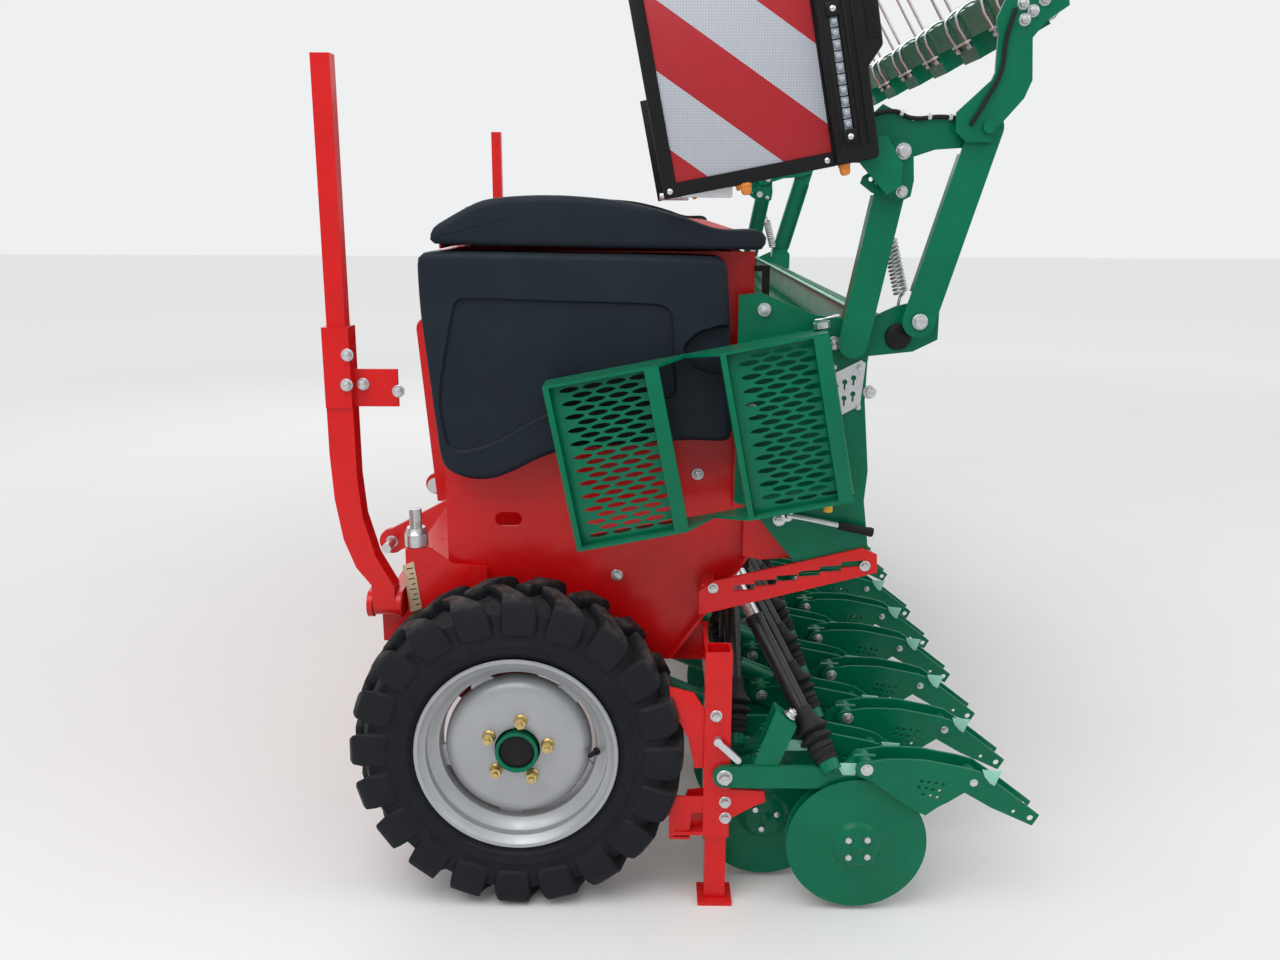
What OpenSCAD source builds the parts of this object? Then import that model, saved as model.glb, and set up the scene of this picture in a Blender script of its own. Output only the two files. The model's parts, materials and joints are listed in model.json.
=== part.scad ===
// Mounted seed drill: hopper on two wheels, two rows of double disc coulters
// and a following harrow folded up for the road.
// X points forward, Y to the machine's left and Z up. Lengths are in mm.
// Shapes are drawn with X measured from the wheel axle and moved by place().

/* [Working width] */
// Width that the coulters sow
working_width = 3000; // [2900:10:3060]
// Number of coulters, front and rear rows together
coulter_count = 24; // [24:2:24]

/* [Wheels] */
// Outer diameter of a tyre over its lugs
tyre_d = 730; // [710:2:740]
// Width of a tyre
tyre_w = 180; // [160:2:184]
// Distance from the hopper's end out to the middle of the tyre
wheel_gap = 120; // [112:2:130]
// Number of lugs on each shoulder of a tyre
lug_count = 20; // [16:1:24]
// Height of a lug
lug_h = 26; // [20:1:30]
// Diameter of the rim over its flanges
rim_d = 444; // [430:2:460]
// Depth of the rim from flange to flange
rim_depth = 148; // [130:2:156]
// Diameter of the wheel disc
dish_d = 340; // [320:2:344]
// How far the wheel disc's outer face stands out from the middle of the tyre
dish_out = 42; // [30:1:50]
// Diameter of the stub axle
axle_d = 45; // [35:1:55]

/* [Hopper] */
// Outer length of the hopper across the machine, over the end plates
hopper_w = 2500; // [2470:5:2510]
// Height of the hopper's rim above the ground
hopper_top = 1425; // [1400:5:1450]
// Distance from the axle to the hopper's front wall
hopper_front = 150; // [130:5:160]
// Distance from the axle back to the hopper's rear wall
hopper_rear = 460; // [440:5:470]
// Thickness of the hopper's sheet metal
sheet = 4; // [3:0.5:6]
// Thickness of the end plates
end_plate_t = 6; // [5:1:8]
// Thickness of a moulded side cover
cover_t = 95; // [80:1:100]
// Height of the closed lid above its seal
lid_h = 100; // [80:1:120]

/* [Frame] */
// Side of the square front beam
front_beam = 100; // [80:5:110]
// Side of the square rear cross tube
rear_tube = 80; // [60:5:90]
// Side of the square coulter beam
coulter_beam_w = 80; // [70:2:84]
// Thickness of the green side plates
side_plate_t = 8; // [6:1:10]
// Side of the square leg of a road stand
stand_d = 46; // [40:1:50]

/* [Hitch] */
// Diameter of the lower hitch pins
hitch_pin_d = 28; // [22:0.1:36]
// Distance between the lower hitch balls
hitch_span = 825; // [800:1:870]
// Bore for the top link pin
top_link_bore = 25.7; // [19:0.1:32]
// Height of the top link bore above the lower pins
mast_h = 610; // [560:5:640]

/* [Coulters] */
// Diameter of a coulter disc
disc_d = 306; // [290:2:312]
// Thickness of a disc
disc_t = 4; // [3:0.5:5]
// Gap between the discs and the ground on the stand
disc_lift = 12; // [5:1:20]
// Distance between the two rows of coulters
row_gap = 190; // [185:1:200]
// Diameter of a coulter arm tube
arm_d = 48; // [40:1:54]
// Diameter of a seed tube
seed_tube_d = 38; // [32:1:42]

/* [Harrow] */
// Side of the square harrow beam
harrow_beam_w = 60; // [50:2:70]
// Diameter of a harrow tine
tine_d = 9; // [7:0.5:11]
// Number of harrow tine holders
holder_count = 9; // [7:1:9]

/* [Hidden] */
$fn = 48;

run_gap = 0.1;
seat_gap = 0.3;
clear_gap = 8;

red = "#c8141c";
green = "#00704f";
dark = "#20262e";
zinc = "#b8bcc0";
amber = "#d88a20";

tyre_r = tyre_d / 2;
lug_w = 28;
row_pitch = working_width / coulter_count;
side_count = coulter_count / 2;
outer_row_y = (working_width - row_pitch) / 2;
end_y = hopper_w / 2;
wheel_y = end_y + wheel_gap;
hopper_end = end_y - end_plate_t;

// Discs of the two rows
disc_r = disc_d / 2;
disc_z = disc_r + disc_lift;
rear_disc_x = -741;
front_disc_x = rear_disc_x + row_gap;
shank_t = 12;
disc_inner = shank_t / 2 + clear_gap - 1;
disc_outer = disc_inner + disc_t;
coulter_axle_d = 30;
hub_dome_r = 49;
hub_dome_h = 14;
dish_t = 8;
hub_bore_r = 40;
hub_flange_t = 12;
hub_ring_h = 20;

// Press carriers, from the disc centre
carrier_t = 6;
carrier_in = disc_outer + hub_dome_h + 2;
carrier_bolt = [-11, 186];
carrier_boss_r = 19;
carrier_tip = [-367, 75];

// Pivots of the coulter arms
arm_slope = 0.415;
arm_through = [22, 114];
arm_pivot_x = -285;
arm_end_dx = 112;
sleeve_w = 60;
clevis_t = 8;
short_pivot = [-451, 317];
short_pivot_front = [-440, 322];
short_bar_h = 50;
beam_x = -250;
beam_z = 420;

// Rear cross tube and front beam, their rear lower corners
cross_x = -330;
cross_z = 520;
front_beam_x = 210;
front_beam_z = 560;

// Seed path
meter_x = -480;
meter_z = 715;
meter_h = 86;
meter_w = 66;
meter_pitch = hopper_w / 24.5;
nipple_h = 12;
spigot = [69, 190];
spigot_d = 44;
spigot_l = 24;
bellows_l = 120;
tube_top_share = 0.24;

// Corners of the hopper's sloping floor
knee = [hopper_front, 1200];
floor_low = [meter_x + 45, meter_z + meter_h];
floor_slope = (knee[1] - floor_low[1]) / (knee[0] - floor_low[0]);

// Hitch
hitch_x = 500;
hitch_z = 520;
ear_t = 20;
ear_r = 38;
hitch_pin_l = 76;
pin_shoulder_d = 36;
ear_y = (hitch_span - hitch_pin_l) / 2 - ear_t - 2;
mast_in = 32;
mast_t = 12;
top_link_x = 430;
top_link_z = hitch_z + mast_h;

// Frame of the origin: halfway between the hitch ears and the carrier tips
nose_x = hitch_x + ear_r;
tail_x = rear_disc_x + carrier_tip[0] - 19;
axle_x = -(nose_x + tail_x) / 2;

// Lid
lid_z = hopper_top + 5;
lid_front = hopper_front + 15;
lid_rear = hopper_rear + 61;
hinge_x = lid_front + 10;
hinge_z = lid_z + 2;
hinge_r = 9;
hinge_pin_d = 8;
knuckle_w = 50;

// Stand
stand_x = -435;
sleeve_wall = 5;
sleeve_in = stand_d / 2 + 0.5;
sleeve_out = sleeve_in + sleeve_wall;
stand_y = outer_row_y - shank_t / 2 - sleeve_out;
sleeve_z = 165;
sleeve_top = 600;
stand_top = 560;
stand_pin_z = 400;
stand_pin_d = 18;
foot_w = 76;
foot_t = 10;

// Side plates and harrow
plate_y = 1310;
plate_out = plate_y + side_plate_t;
saw_t = 8;
cross_tube = [-798, 1256];
cross_tube_d = 50;
harrow_pivot = [-831, 1291];
link_front = [-779, 1623];
link_rear = [-941, 1668];
pivot_d = 24;
arm_w = 66;
mast_w = 60;
board_w = 430;
board_t = 22;
board_rim = 26;
board_face = 129;
board_case_t = 12;
board_lamp_d = 28;
sector_pin = [-780, 1546];
sector_pin_d = 16;
channel_t = 6;
channel_d = 36;
sector_t = 6;
link_y = plate_out + 14;
arm_out = plate_out + channel_d + 8;
board_y = 1392;
harrow_beam_c = [-1010, 1925];

arm_spring_y = outer_row_y - shank_t / 2 - 19;
arm_spring_z = short_pivot[1] + short_bar_h / 2 + 7.8;

// Marker
marker_y = end_y + 40;
marker_z = 655;
marker_x0 = 275;
marker_x1 = 325;
marker_r = 25;
marker_pin_d = 20;
post_w = 39;
post_x = 351;
post_top = 1810;
neck_top = 1110;

// Step, from a leaning hinge line
step_lean = 11;
step_y = 1440;
step_in = end_y + cover_t + 6;
step_pin_y = plate_out + 58;
step_hinge = [-668, 1105];
step_pin_x = 2;
step_pin_d = 14;
step_sleeve_d = 26;

module place() {
    translate([axle_x, 0, 0]) children();
}
module both() {
    children();
    mirror([0, 1, 0]) children();
}
// Plate drawn in X and Z, from y to y + t
module plate_xz(points, y, t) {
    translate([0, y + t, 0]) rotate([90, 0, 0]) linear_extrude(t) polygon(points);
}
// Cylinder along Y from y0 to y1
module pin_y(at, y0, y1, d) {
    translate([at[0], y0, at[1]]) rotate([-90, 0, 0]) cylinder(h = y1 - y0, d = d);
}
// Box between two corners
module block(a, b) {
    translate(a) cube(b - a);
}
// Round bar between two points
module rod(p, q, d) {
    v = q - p;
    len = norm(v);
    translate(p) rotate([0, acos(v[2] / len), atan2(v[1], v[0])]) cylinder(h = len, d = d);
}
// Flat bar in X and Z between two points, from y to y + t
module bar_xz(p, q, w, y, t) {
    v = q - p;
    len = norm(v);
    n = [-v[1], v[0]] * w / (2 * len);
    plate_xz([p + n, q + n, q - n, p - n], y, t);
    pin_y(p, y, y + t, w);
    pin_y(q, y, y + t, w);
}

// Coulters of the left half count from the outermost one, which is in the rear row
function coulter_y(j) = outer_row_y - j * row_pitch;
function coulter_x(j) = j % 2 == 0 ? rear_disc_x : front_disc_x;
function meter_y(j) = (side_count - 0.5 - j) * meter_pitch;
function tube_top(j) = [meter_x, meter_y(j), meter_z - nipple_h - seed_tube_d / 2];
function tube_foot(j) = [coulter_x(j) + spigot[0], coulter_y(j), disc_z + spigot[1]];
function tube_dir(j) = (tube_top(j) - tube_foot(j)) / norm(tube_top(j) - tube_foot(j));
function tube_len(j) = norm(tube_top(j) - tube_foot(j));
function arm_z(x, disc_x) = disc_z + arm_through[1] + arm_slope * (x - disc_x - arm_through[0]);

function hopper_floor_z(x) = floor_low[1] + (x - floor_low[0]) * floor_slope;

module main_frame() {
    color(red) place() {
        block([front_beam_x, -hopper_end, front_beam_z],
              [front_beam_x + front_beam, hopper_end, front_beam_z + front_beam]);
        block([cross_x, -hopper_end, cross_z], [cross_x + rear_tube, hopper_end, cross_z + rear_tube]);
        for (y = [-900, -300, 300, 900]) frame_rib(y);
    }
}
// Web that ties the front beam to the rear tube and carries the hopper's floor
module frame_rib(y) {
    web = 10;
    floor_z = hopper_floor_z(-100);
    plate_xz([[front_beam_x, front_beam_z + 10], [front_beam_x, front_beam_z + front_beam],
              [-100 + 40, hopper_floor_z(-60) - seat_gap], [-100 - 60, hopper_floor_z(-160) - seat_gap],
              [cross_x + rear_tube, cross_z + rear_tube], [cross_x + rear_tube, cross_z + 10]],
             y - web / 2, web);
}

module headstock() {
    color(red) place() {
        both() hitch_ears();
        both() hitch_mast();
        both() mast_brace();
    }
}
module hitch_ears() {
    difference() {
        union() {
            plate_xz([[front_beam_x + front_beam, front_beam_z], [front_beam_x + front_beam,
                                                            front_beam_z + front_beam],
                      [hitch_x, hitch_z + ear_r], [hitch_x, hitch_z - ear_r]], ear_y, ear_t);
            pin_y([hitch_x, hitch_z], ear_y, ear_y + ear_t, 2 * ear_r);
        }
        pin_y([hitch_x, hitch_z], ear_y - 1, ear_y + ear_t + 1, pin_shoulder_d + 2 * run_gap);
    }
}
module hitch_mast() {
    difference() {
        union() {
            plate_xz([[front_beam_x + front_beam, front_beam_z], [front_beam_x + front_beam,
                                                            front_beam_z + front_beam],
                      [top_link_x - 36, top_link_z], [top_link_x + 36, top_link_z],
                      [front_beam_x + front_beam + 110, front_beam_z]], mast_in, mast_t);
            pin_y([top_link_x, top_link_z], mast_in, mast_in + mast_t, 72);
        }
        pin_y([top_link_x, top_link_z], mast_in - 1, mast_in + mast_t + 1, top_link_bore);
    }
}
module mast_brace() {
    brace_d = 42;
    foot = [front_beam_x + front_beam - 30, ear_y - 30, front_beam_z + front_beam - 30];
    difference() {
        rod([top_link_x - 14, mast_in + 4, top_link_z - 95], foot, brace_d);
        block([front_beam_x, 0, front_beam_z], [front_beam_x + front_beam, end_y,
                                                front_beam_z + front_beam]);
    }
}

module hitch_pins() {
    color(zinc) place() both() {
        pin_y([hitch_x, hitch_z], ear_y - 22, ear_y + ear_t + 2, pin_shoulder_d);
        pin_y([hitch_x, hitch_z], ear_y + ear_t + 2, ear_y + ear_t + 2 + hitch_pin_l, hitch_pin_d);
        pin_y([hitch_x, hitch_z], ear_y - 30, ear_y - 10, 54);
    }
}

// Outline of the hopper, moved in by s
function hopper_outline(s) = [
    [hopper_front - s, hopper_top + (s > 0 ? 1 : 0)],
    [knee[0] - s, knee[1] + 0.4 * s],
    [floor_low[0] - 0.4 * s, floor_low[1] + s],
    [meter_x - 45 + 0.4 * s, floor_low[1] + s],
    [-hopper_rear + s, 905 + 0.2 * s],
    [-hopper_rear + s, hopper_top + (s > 0 ? 1 : 0)]
];
module hopper() {
    rim_lip = 18;
    color(red) place() {
        difference() {
            union() {
                plate_xz(hopper_outline(0), -hopper_end, 2 * hopper_end);
                block([hopper_front, -hopper_end, hopper_top - sheet], [hopper_front + rim_lip,
                                                            hopper_end, hopper_top]);
                block([-hopper_rear - rim_lip, -hopper_end, hopper_top - sheet], [-hopper_rear,
                                                            hopper_end, hopper_top]);
            }
            plate_xz(hopper_outline(sheet), -hopper_end + sheet, 2 * (hopper_end - sheet));
        }
    }
}

module end_plates() {
    color(red) place() both() {
        difference() {
            plate_xz([[hopper_front + 15, hopper_top], [hopper_front + 15, 700], [262, 700], [262, 685],
                      [front_beam_x + front_beam + 10, 685], [front_beam_x + front_beam + 10,
                                                            front_beam_z - 10],
                      [front_beam_x - 10, front_beam_z - 10], [60, 640], [-150, 640],
                          [cross_x + rear_tube + 10, cross_z - 10],
                      [-420, cross_z - 10], [-420, 600], [-400, 600], [-545, 815], [-505, 880], [-505,
                                                            hopper_top]],
                     hopper_end, end_plate_t);
            oval_cut([28, 840]);
        }
        end_rib();
        block([-505, end_y, 885], [-465, plate_y, 1150]);
    }
}
module oval_cut(c) {
    for (dx = [-14, 14]) pin_y([c[0] + dx, c[1]], hopper_end - 1, end_y + 1, 32);
    block([c[0] - 14, hopper_end - 1, c[1] - 16], [c[0] + 14, end_y + 1, c[1] + 16]);
}
// Folded edge that runs up and back from the rear tube
module end_rib() {
    low = [cross_x - 7, cross_z + 4];
    high = [-537, 810];
    v = high - low;
    n = [-v[1], v[0]] * 6 / norm(v);
    plate_xz([low, high, high - n, low - n], end_y, 34);
}

module side_covers() {
    color(dark) place() both() {
        difference() {
            plate_xz(cover_outline(0), end_y, cover_t);
            plate_xz(cover_outline(6), end_y - 1, cover_t - 5);
        }
    }
}
// Outline of a side cover, moved in by about s
function cover_outline(s) = [
    [158 - s, hopper_top - 1 - s], [184 - s, hopper_top - 35], [190 - s, 1330], [182 - s, 1180],
    [143 - s, 985 + 0.4 * s], [122 - 0.4 * s, 955 + s], [63, 948 + s], [0, 957 + s], [-60, 985 + s],
    [-130, 1020 + s], [-250, 1050 + s], [-430 + s, 1056 + s], [-447 + s, 1075], [-447 + s, hopper_top - 22],
    [-430 + s, hopper_top - 1 - s]
];

// Outline of the lid, moved in by s
function lid_outline(s) = [
    [lid_front - s, lid_z - (s > 0 ? 1 : 0)],
    [lid_front - s, lid_z + 20],
    [138 - s, lid_z + 63 - s],
    [100, lid_z + 90 - s],
    [60, lid_z + lid_h - s],
    [-190, lid_z + lid_h - s],
    [-364, lid_z + 42 - s],
    [-500, lid_z + 34 - s],
    [-lid_rear + s, lid_z + 22 - s],
    [-lid_rear + s, lid_z - (s > 0 ? 1 : 0)]
];
module lid_top() {
    color(red) place() {
        difference() {
            plate_xz(lid_outline(6), -end_y, 2 * end_y);
            plate_xz(lid_outline(6 + sheet), -end_y - 1, 2 * end_y + 2);
            hinge_notches();
        }
        lid_knuckles();
    }
}
module hinge_notches() {
    for (y = [-900, 0, 900]) {
        block([lid_front - 12, y - knuckle_w * 1.5 - 6, lid_z - 2], [lid_front + 12, y - knuckle_w / 2,
                                                            lid_z + 14]);
        block([lid_front - 12, y + knuckle_w / 2, lid_z - 2], [lid_front + 12, y + knuckle_w * 1.5 + 6,
                                                            lid_z + 14]);
    }
}
module lid_knuckles() {
    for (y = [-900, 0, 900]) {
        difference() {
            union() {
                pin_y([hinge_x, hinge_z], y - knuckle_w / 2 + 0.5, y + knuckle_w / 2 - 0.5, 2 * hinge_r);
                block([lid_front - 10, y - knuckle_w / 2 + 0.5, hinge_z - 1], [hinge_x,
                                                            y + knuckle_w / 2 - 0.5, hinge_z + 6]);
            }
            pin_y([hinge_x, hinge_z], y - knuckle_w, y + knuckle_w, hinge_pin_d + 2 * run_gap);
        }
    }
}
module lid_hinge() {
    color(zinc) place() for (y = [-900, 0, 900]) {
        pin_y([hinge_x, hinge_z], y - 1.5 * knuckle_w, y + 1.5 * knuckle_w, hinge_pin_d);
        for (side = [-1, 1]) {
            y0 = y + side * knuckle_w - knuckle_w / 2 + 0.5;
            pin_y([hinge_x, hinge_z], y0, y0 + knuckle_w - 1, 2 * hinge_r - 2);
            block([hopper_front + 18, y0, hopper_top - 24], [hinge_x + 4, y0 + knuckle_w - 1, hinge_z]);
        }
    }
}
module lid_caps() {
    color(dark) place() both() {
        difference() {
            plate_xz(lid_outline(0), end_y, cover_t + 4);
            plate_xz(lid_outline(6), end_y - 1, cover_t - 1);
        }
    }
}

module metering() {
    color(dark) place() {
        both() for (j = [0 : side_count - 1]) {
            block([meter_x - meter_w / 2, meter_y(j) - meter_w / 2, meter_z],
                  [meter_x + meter_w / 2, meter_y(j) + meter_w / 2, meter_z + meter_h]);
            translate([meter_x, meter_y(j), meter_z - nipple_h]) cylinder(h = nipple_h + 1, d = 34);
        }
        pin_y([meter_x + 10, meter_z + 45], -meter_y(0), meter_y(0), 22);
    }
}

module tube_tops() {
    color(zinc) place() both() for (j = [0 : side_count - 1]) {
        cut = tube_top(j) - tube_dir(j) * tube_len(j) * tube_top_share;
        rod(cut, tube_top(j), seed_tube_d - 7);
        translate(tube_top(j)) sphere(d = seed_tube_d - 2 * seat_gap);
    }
}
module seed_tubes() {
    color(dark) place() both() for (j = [0 : side_count - 1]) {
        cut = tube_top(j) - tube_dir(j) * tube_len(j) * tube_top_share;
        rod(tube_foot(j) + tube_dir(j) * bellows_l, cut, seed_tube_d);
    }
}
module bellows() {
    color(dark) place() both() for (j = [0 : side_count - 1]) {
        v = tube_dir(j);
        translate(tube_foot(j)) rotate([0, acos(v[2]), atan2(v[1], v[0])]) bellow_stack();
    }
}
// Rubber bellows with three lips
module bellow_stack() {
    lip_h = 26;
    cylinder(h = bellows_l, d = seed_tube_d + 8);
    for (k = [0 : 2]) translate([0, 0, 8 + k * lip_h]) 
        cylinder(h = lip_h - 6, d1 = seed_tube_d + 34, d2 = seed_tube_d + 8);
}

module coulter_beam() {
    beam_end = end_y - 60;
    color(green) place() {
        block([beam_x, -beam_end, beam_z - coulter_beam_w / 2],
              [beam_x + coulter_beam_w, beam_end, beam_z + coulter_beam_w / 2]);
        both() for (j = [0 : side_count - 1]) if (coulter_y(j) < beam_end - 20) clevis(j);
        for (y = [-beam_end + 60, -420, 420, beam_end - 60]) beam_hanger(y);
    }
}
module clevis(j) {
    for (side = [-1, 1]) {
        y = coulter_y(j) + side * (sleeve_w / 2 + clevis_t / 2) - clevis_t / 2;
        plate_xz([[beam_x + 1, beam_z - coulter_beam_w / 2], [beam_x + 1, beam_z + coulter_beam_w / 2],
                  [arm_pivot_x - 20, arm_z(arm_pivot_x, coulter_x(j)) + 26],
                  [arm_pivot_x - 20, arm_z(arm_pivot_x, coulter_x(j)) - 26]], y, clevis_t);
    }
}
module beam_hanger(y) {
    top = cross_z;
    block([beam_x, y - 40, beam_z + coulter_beam_w / 2], [beam_x + 12, y + 40, top + rear_tube]);
}

module arms_rear() {
    color(green) place() both() {
        for (j = [0 : 2 : side_count - 1]) coulter_arm(j);
        spring_tower();
    }
}
module arms_front() {
    color(green) place() both() for (j = [1 : 2 : side_count - 1]) coulter_arm(j);
}
module coulter_arm(j) {
    x = coulter_x(j);
    y = coulter_y(j);
    difference() {
        union() {
            if (y < end_y - 80) long_arm(x, y); else short_arm(x, y);
            translate([x, 0, disc_z]) shank(y);
            rod(tube_foot(j) - tube_dir(j) * spigot_l, tube_foot(j), spigot_d);
        }
        pin_y([x, disc_z], y - shank_t, y + shank_t, coulter_axle_d + 2 * run_gap);
    }
}
module long_arm(x, y) {
    pivot = [arm_pivot_x, y, arm_z(arm_pivot_x, x)];
    rod([x + arm_end_dx, y, arm_z(x + arm_end_dx, x)], pivot, arm_d);
    pin_y([pivot[0], pivot[2]], y - sleeve_w / 2, y + sleeve_w / 2, 44);
    plate_xz([[x + 40, disc_z + 90], [x + 40, disc_z + 150], [x + arm_end_dx + 40, disc_z + 185],
              [x + arm_end_dx + 40, disc_z + 140]], y - shank_t / 2, shank_t);
}
// Flat arm of an outermost coulter, behind the wheel
module short_arm(x, y) {
    pivot = x == rear_disc_x ? short_pivot : short_pivot_front;
    bar_xz(pivot, [x + 45, pivot[1]], short_bar_h, y - shank_t / 2, shank_t);
}
// Leaning square tube that backs the spring of an outermost rear arm
module spring_tower() {
    y0 = outer_row_y - shank_t / 2 - 44;
    foot = short_pivot[1] + short_bar_h / 2 - 2;
    difference() {
        plate_xz([[-566, foot], [-512, foot], [-558, foot + 130], [-603, foot + 94]], y0, 50);
        plate_xz([[-560, foot + 6], [-500, foot + 6], [-546, foot + 140], [-592, foot + 100]], y0 + 6, 38);
    }
}
// Plate between the discs, drawn from the disc centre
module shank(y) {
    plate_xz([[-28, 0], [28, 0], [64, 90], [88, 150], [80, 165], [44, 172], [12, 205], [-34, 205],
              [-44, 150]], y - shank_t / 2, shank_t);
    pin_y([0, 0], y - shank_t / 2, y + shank_t / 2, 56);
}

module at_disc(j) {
    translate([coulter_x(j), coulter_y(j), disc_z]) children();
}
module carriers_rear() {
    color(green) place() both() for (j = [0 : 2 : side_count - 1]) at_disc(j) press_carrier();
}
module carriers_front() {
    color(green) place() both() for (j = [1 : 2 : side_count - 1]) at_disc(j) press_carrier();
}
// Pair of plates that would hold a press wheel, from the disc centre
module press_carrier() {
    for (side = [-1, 1]) {
        y = side * (carrier_in + carrier_t / 2) - carrier_t / 2;
        difference() {
            plate_xz([[14, 186], [8, 203], [-54, 211], [-136, 209], [-217, 193], [-252, 183], [-386, 82],
                      [-372, 57],
                      [-279, 100], [-222, 134], [-167, 99], [-142, 79], [-104, 98], [-25, 157], [6, 170]],
                          y, carrier_t);
            pin_y(carrier_tip, y - 1, y + carrier_t + 1, 14);
        }
        boss_y = side * (carrier_in + shank_t / 2) / 2;
        boss_l = carrier_in - shank_t / 2;
        pin_y(carrier_bolt, boss_y - boss_l / 2, boss_y + boss_l / 2, 2 * carrier_boss_r);
    }
    pin_y([-240, 158], -carrier_in - 1, carrier_in + 1, 30);
}

module discs_rear() {
    color(green) place() both() for (j = [0 : 2 : side_count - 1]) at_disc(j) disc_pair();
}
module discs_front() {
    color(green) place() both() for (j = [1 : 2 : side_count - 1]) at_disc(j) disc_pair();
}
module disc_pair() {
    pin_y([0, 0], -disc_inner - 1, disc_inner + 1, coulter_axle_d);
    for (side = [-1, 1]) {
        y = side * (disc_inner + disc_t / 2) - disc_t / 2;
        pin_y([0, 0], y, y + disc_t, disc_d);
        rotate([-90 * side, 0, 0]) translate([0, 0, disc_outer - 1]) {
            cylinder(h = hub_dome_h - 5, r = hub_dome_r);
            cylinder(h = hub_dome_h, r1 = hub_dome_r - 8, r2 = 16);
        }
    }
}

module at_wheel(side) {
    mirror([0, side < 0 ? 1 : 0, 0]) translate([0, wheel_y, tyre_r]) rotate([-90, 0, 0]) children();
}
module wheel_arms() {
    arm_t = 18;
    inner = -wheel_gap;
    color(red) place() for (side = [-1, 1]) at_wheel(side) {
        translate([0, 0, inner]) linear_extrude(arm_t) polygon([[-40, 0], [-30, -120], [80, -365], [135,
                                                            -365], [150, -320], [285, -220], [285, -160],
                                                            [50, 20], [-20, 45]]);
        translate([0, 0, inner]) cylinder(h = arm_t + 4, r = 60);
        translate([0, 0, inner]) cylinder(h = 40 - inner, d = axle_d);
    }
}
// Bracket over the front of the wheel that carries the depth spindle
module spindle_housings() {
    y = end_y + 18;
    color(red) place() both() {
        plate_xz([[75, 735], [75, 690], [256, 604], [256, 768], [205, 780], [150, 742]], y, 6);
        block([200, end_y, 768], [256, y + 6, 775]);
        block([250, end_y + 2, 690], [256, y + 1, 769]);
    }
}
module wheel_spindles() {
    color(zinc) place() both() {
        translate([236, end_y - 6, 775]) {
            cylinder(h = 44, d = 52);
            cylinder(h = 86, d = 30, $fn = 6);
        }
    }
}

// Tyre about its own axle, with its lugs in a staggered row on each shoulder
module tyre(side) {
    w = tyre_w / 2;
    d = rim_depth / 2;
    seat = rim_d / 2 - 18;
    tread_r = tyre_r - lug_h;
    color(dark) place() at_wheel(side) {
        rotate_extrude($fn = 96) polygon([
            [seat + seat_gap, -d + 18], [rim_d / 2 + seat_gap, -d + 8], [seat + 32, -w + 8],
            [seat + 62, -w], [tread_r - 38, -w], [tread_r - 8, -w + 14], [tread_r, -w + 34],
            [tread_r, w - 34], [tread_r - 8, w - 14], [tread_r - 38, w], [seat + 62, w],
            [seat + 32, w - 8], [rim_d / 2 + seat_gap, d - 8], [seat + seat_gap, d - 18]]);
        for (k = [0 : lug_count - 1], turn = [0, 1])
            rotate([0, 0, 90 + (k + turn / 2) * 360 / lug_count]) mirror([0, 0, turn]) tyre_lug();
    }
}
// One lug, from the middle of the tread out to the shoulder and down its side
module tyre_lug() {
    slant = 38;
    out = (tyre_w - lug_w * sin(slant)) / cos(slant) / 2;
    drop = 8;
    rotate([slant, 0, 0]) translate([0, lug_w / 2, 0]) rotate([90, 0, 0]) linear_extrude(lug_w)
        polygon([[tyre_r - lug_h - 6, -4], [tyre_r - 0.6, 2], [tyre_r - drop, out - 14],
                 [tyre_r - lug_h - 4, out - 1], [tyre_r - lug_h - 50, out - 1], [tyre_r - lug_h - 52,
                                                            out - 12],
                 [tyre_r - lug_h - 16, out - 34]]);
}
module tyre_left() {
    tyre(1);
}
module tyre_right() {
    tyre(-1);
}
module rim(side) {
    r = rim_d / 2;
    d = rim_depth / 2;
    well = dish_d / 2;
    color(zinc) place() at_wheel(side) {
        rotate_extrude($fn = 96) polygon([[r, -d], [r, -d + 6], [r - 18, -d + 16], [r - 18, -22],
                                          [well + 8, -12], [well + 8, 12], [r - 18, 22],
                                [r - 18, d - 16], [r, d - 6], [r, d], [r - 8, d], [r - 24, d - 20],
                                    [r - 24, 26], [well, 14],
                                [well, -14], [r - 24, -26], [r - 24, -d + 20], [r - 8, -d]]);
        rotate_extrude($fn = 96) polygon([[hub_bore_r, dish_out - dish_t], [hub_bore_r, dish_out],
                                          [well - 32, dish_out], [well - 12, dish_out - 14],
                                          [well - 6, dish_t / 2], [well + 1, dish_t / 2],
                                          [well + 1, -dish_t / 2], [well - 14, -dish_t / 2],
                                          [well - 20, dish_out - 20], [well - 36, dish_out - dish_t]]);
    }
}
module rim_left() {
    rim(1);
}
module rim_right() {
    rim(-1);
}
module hub(side) {
    hub_in = 24 - wheel_gap;
    flange_in = dish_out - dish_t - hub_flange_t;
    color(green) place() at_wheel(side) {
        difference() {
            union() {
                translate([0, 0, hub_in]) cylinder(h = dish_out + 4 - hub_in, r = hub_bore_r - 1);
                translate([0, 0, flange_in]) cylinder(h = hub_flange_t, r = 88);
            }
            translate([0, 0, hub_in - 1]) cylinder(h = 41 - hub_in, d = axle_d + 2 * run_gap);
        }
        translate([0, 0, dish_out]) difference() {
            cylinder(h = hub_ring_h, r = 47);
            translate([0, 0, -1]) cylinder(h = hub_ring_h + 2, r = hub_bore_r - 1.5);
        }
    }
}
module hub_left() {
    hub(1);
}
module hub_right() {
    hub(-1);
}

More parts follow.
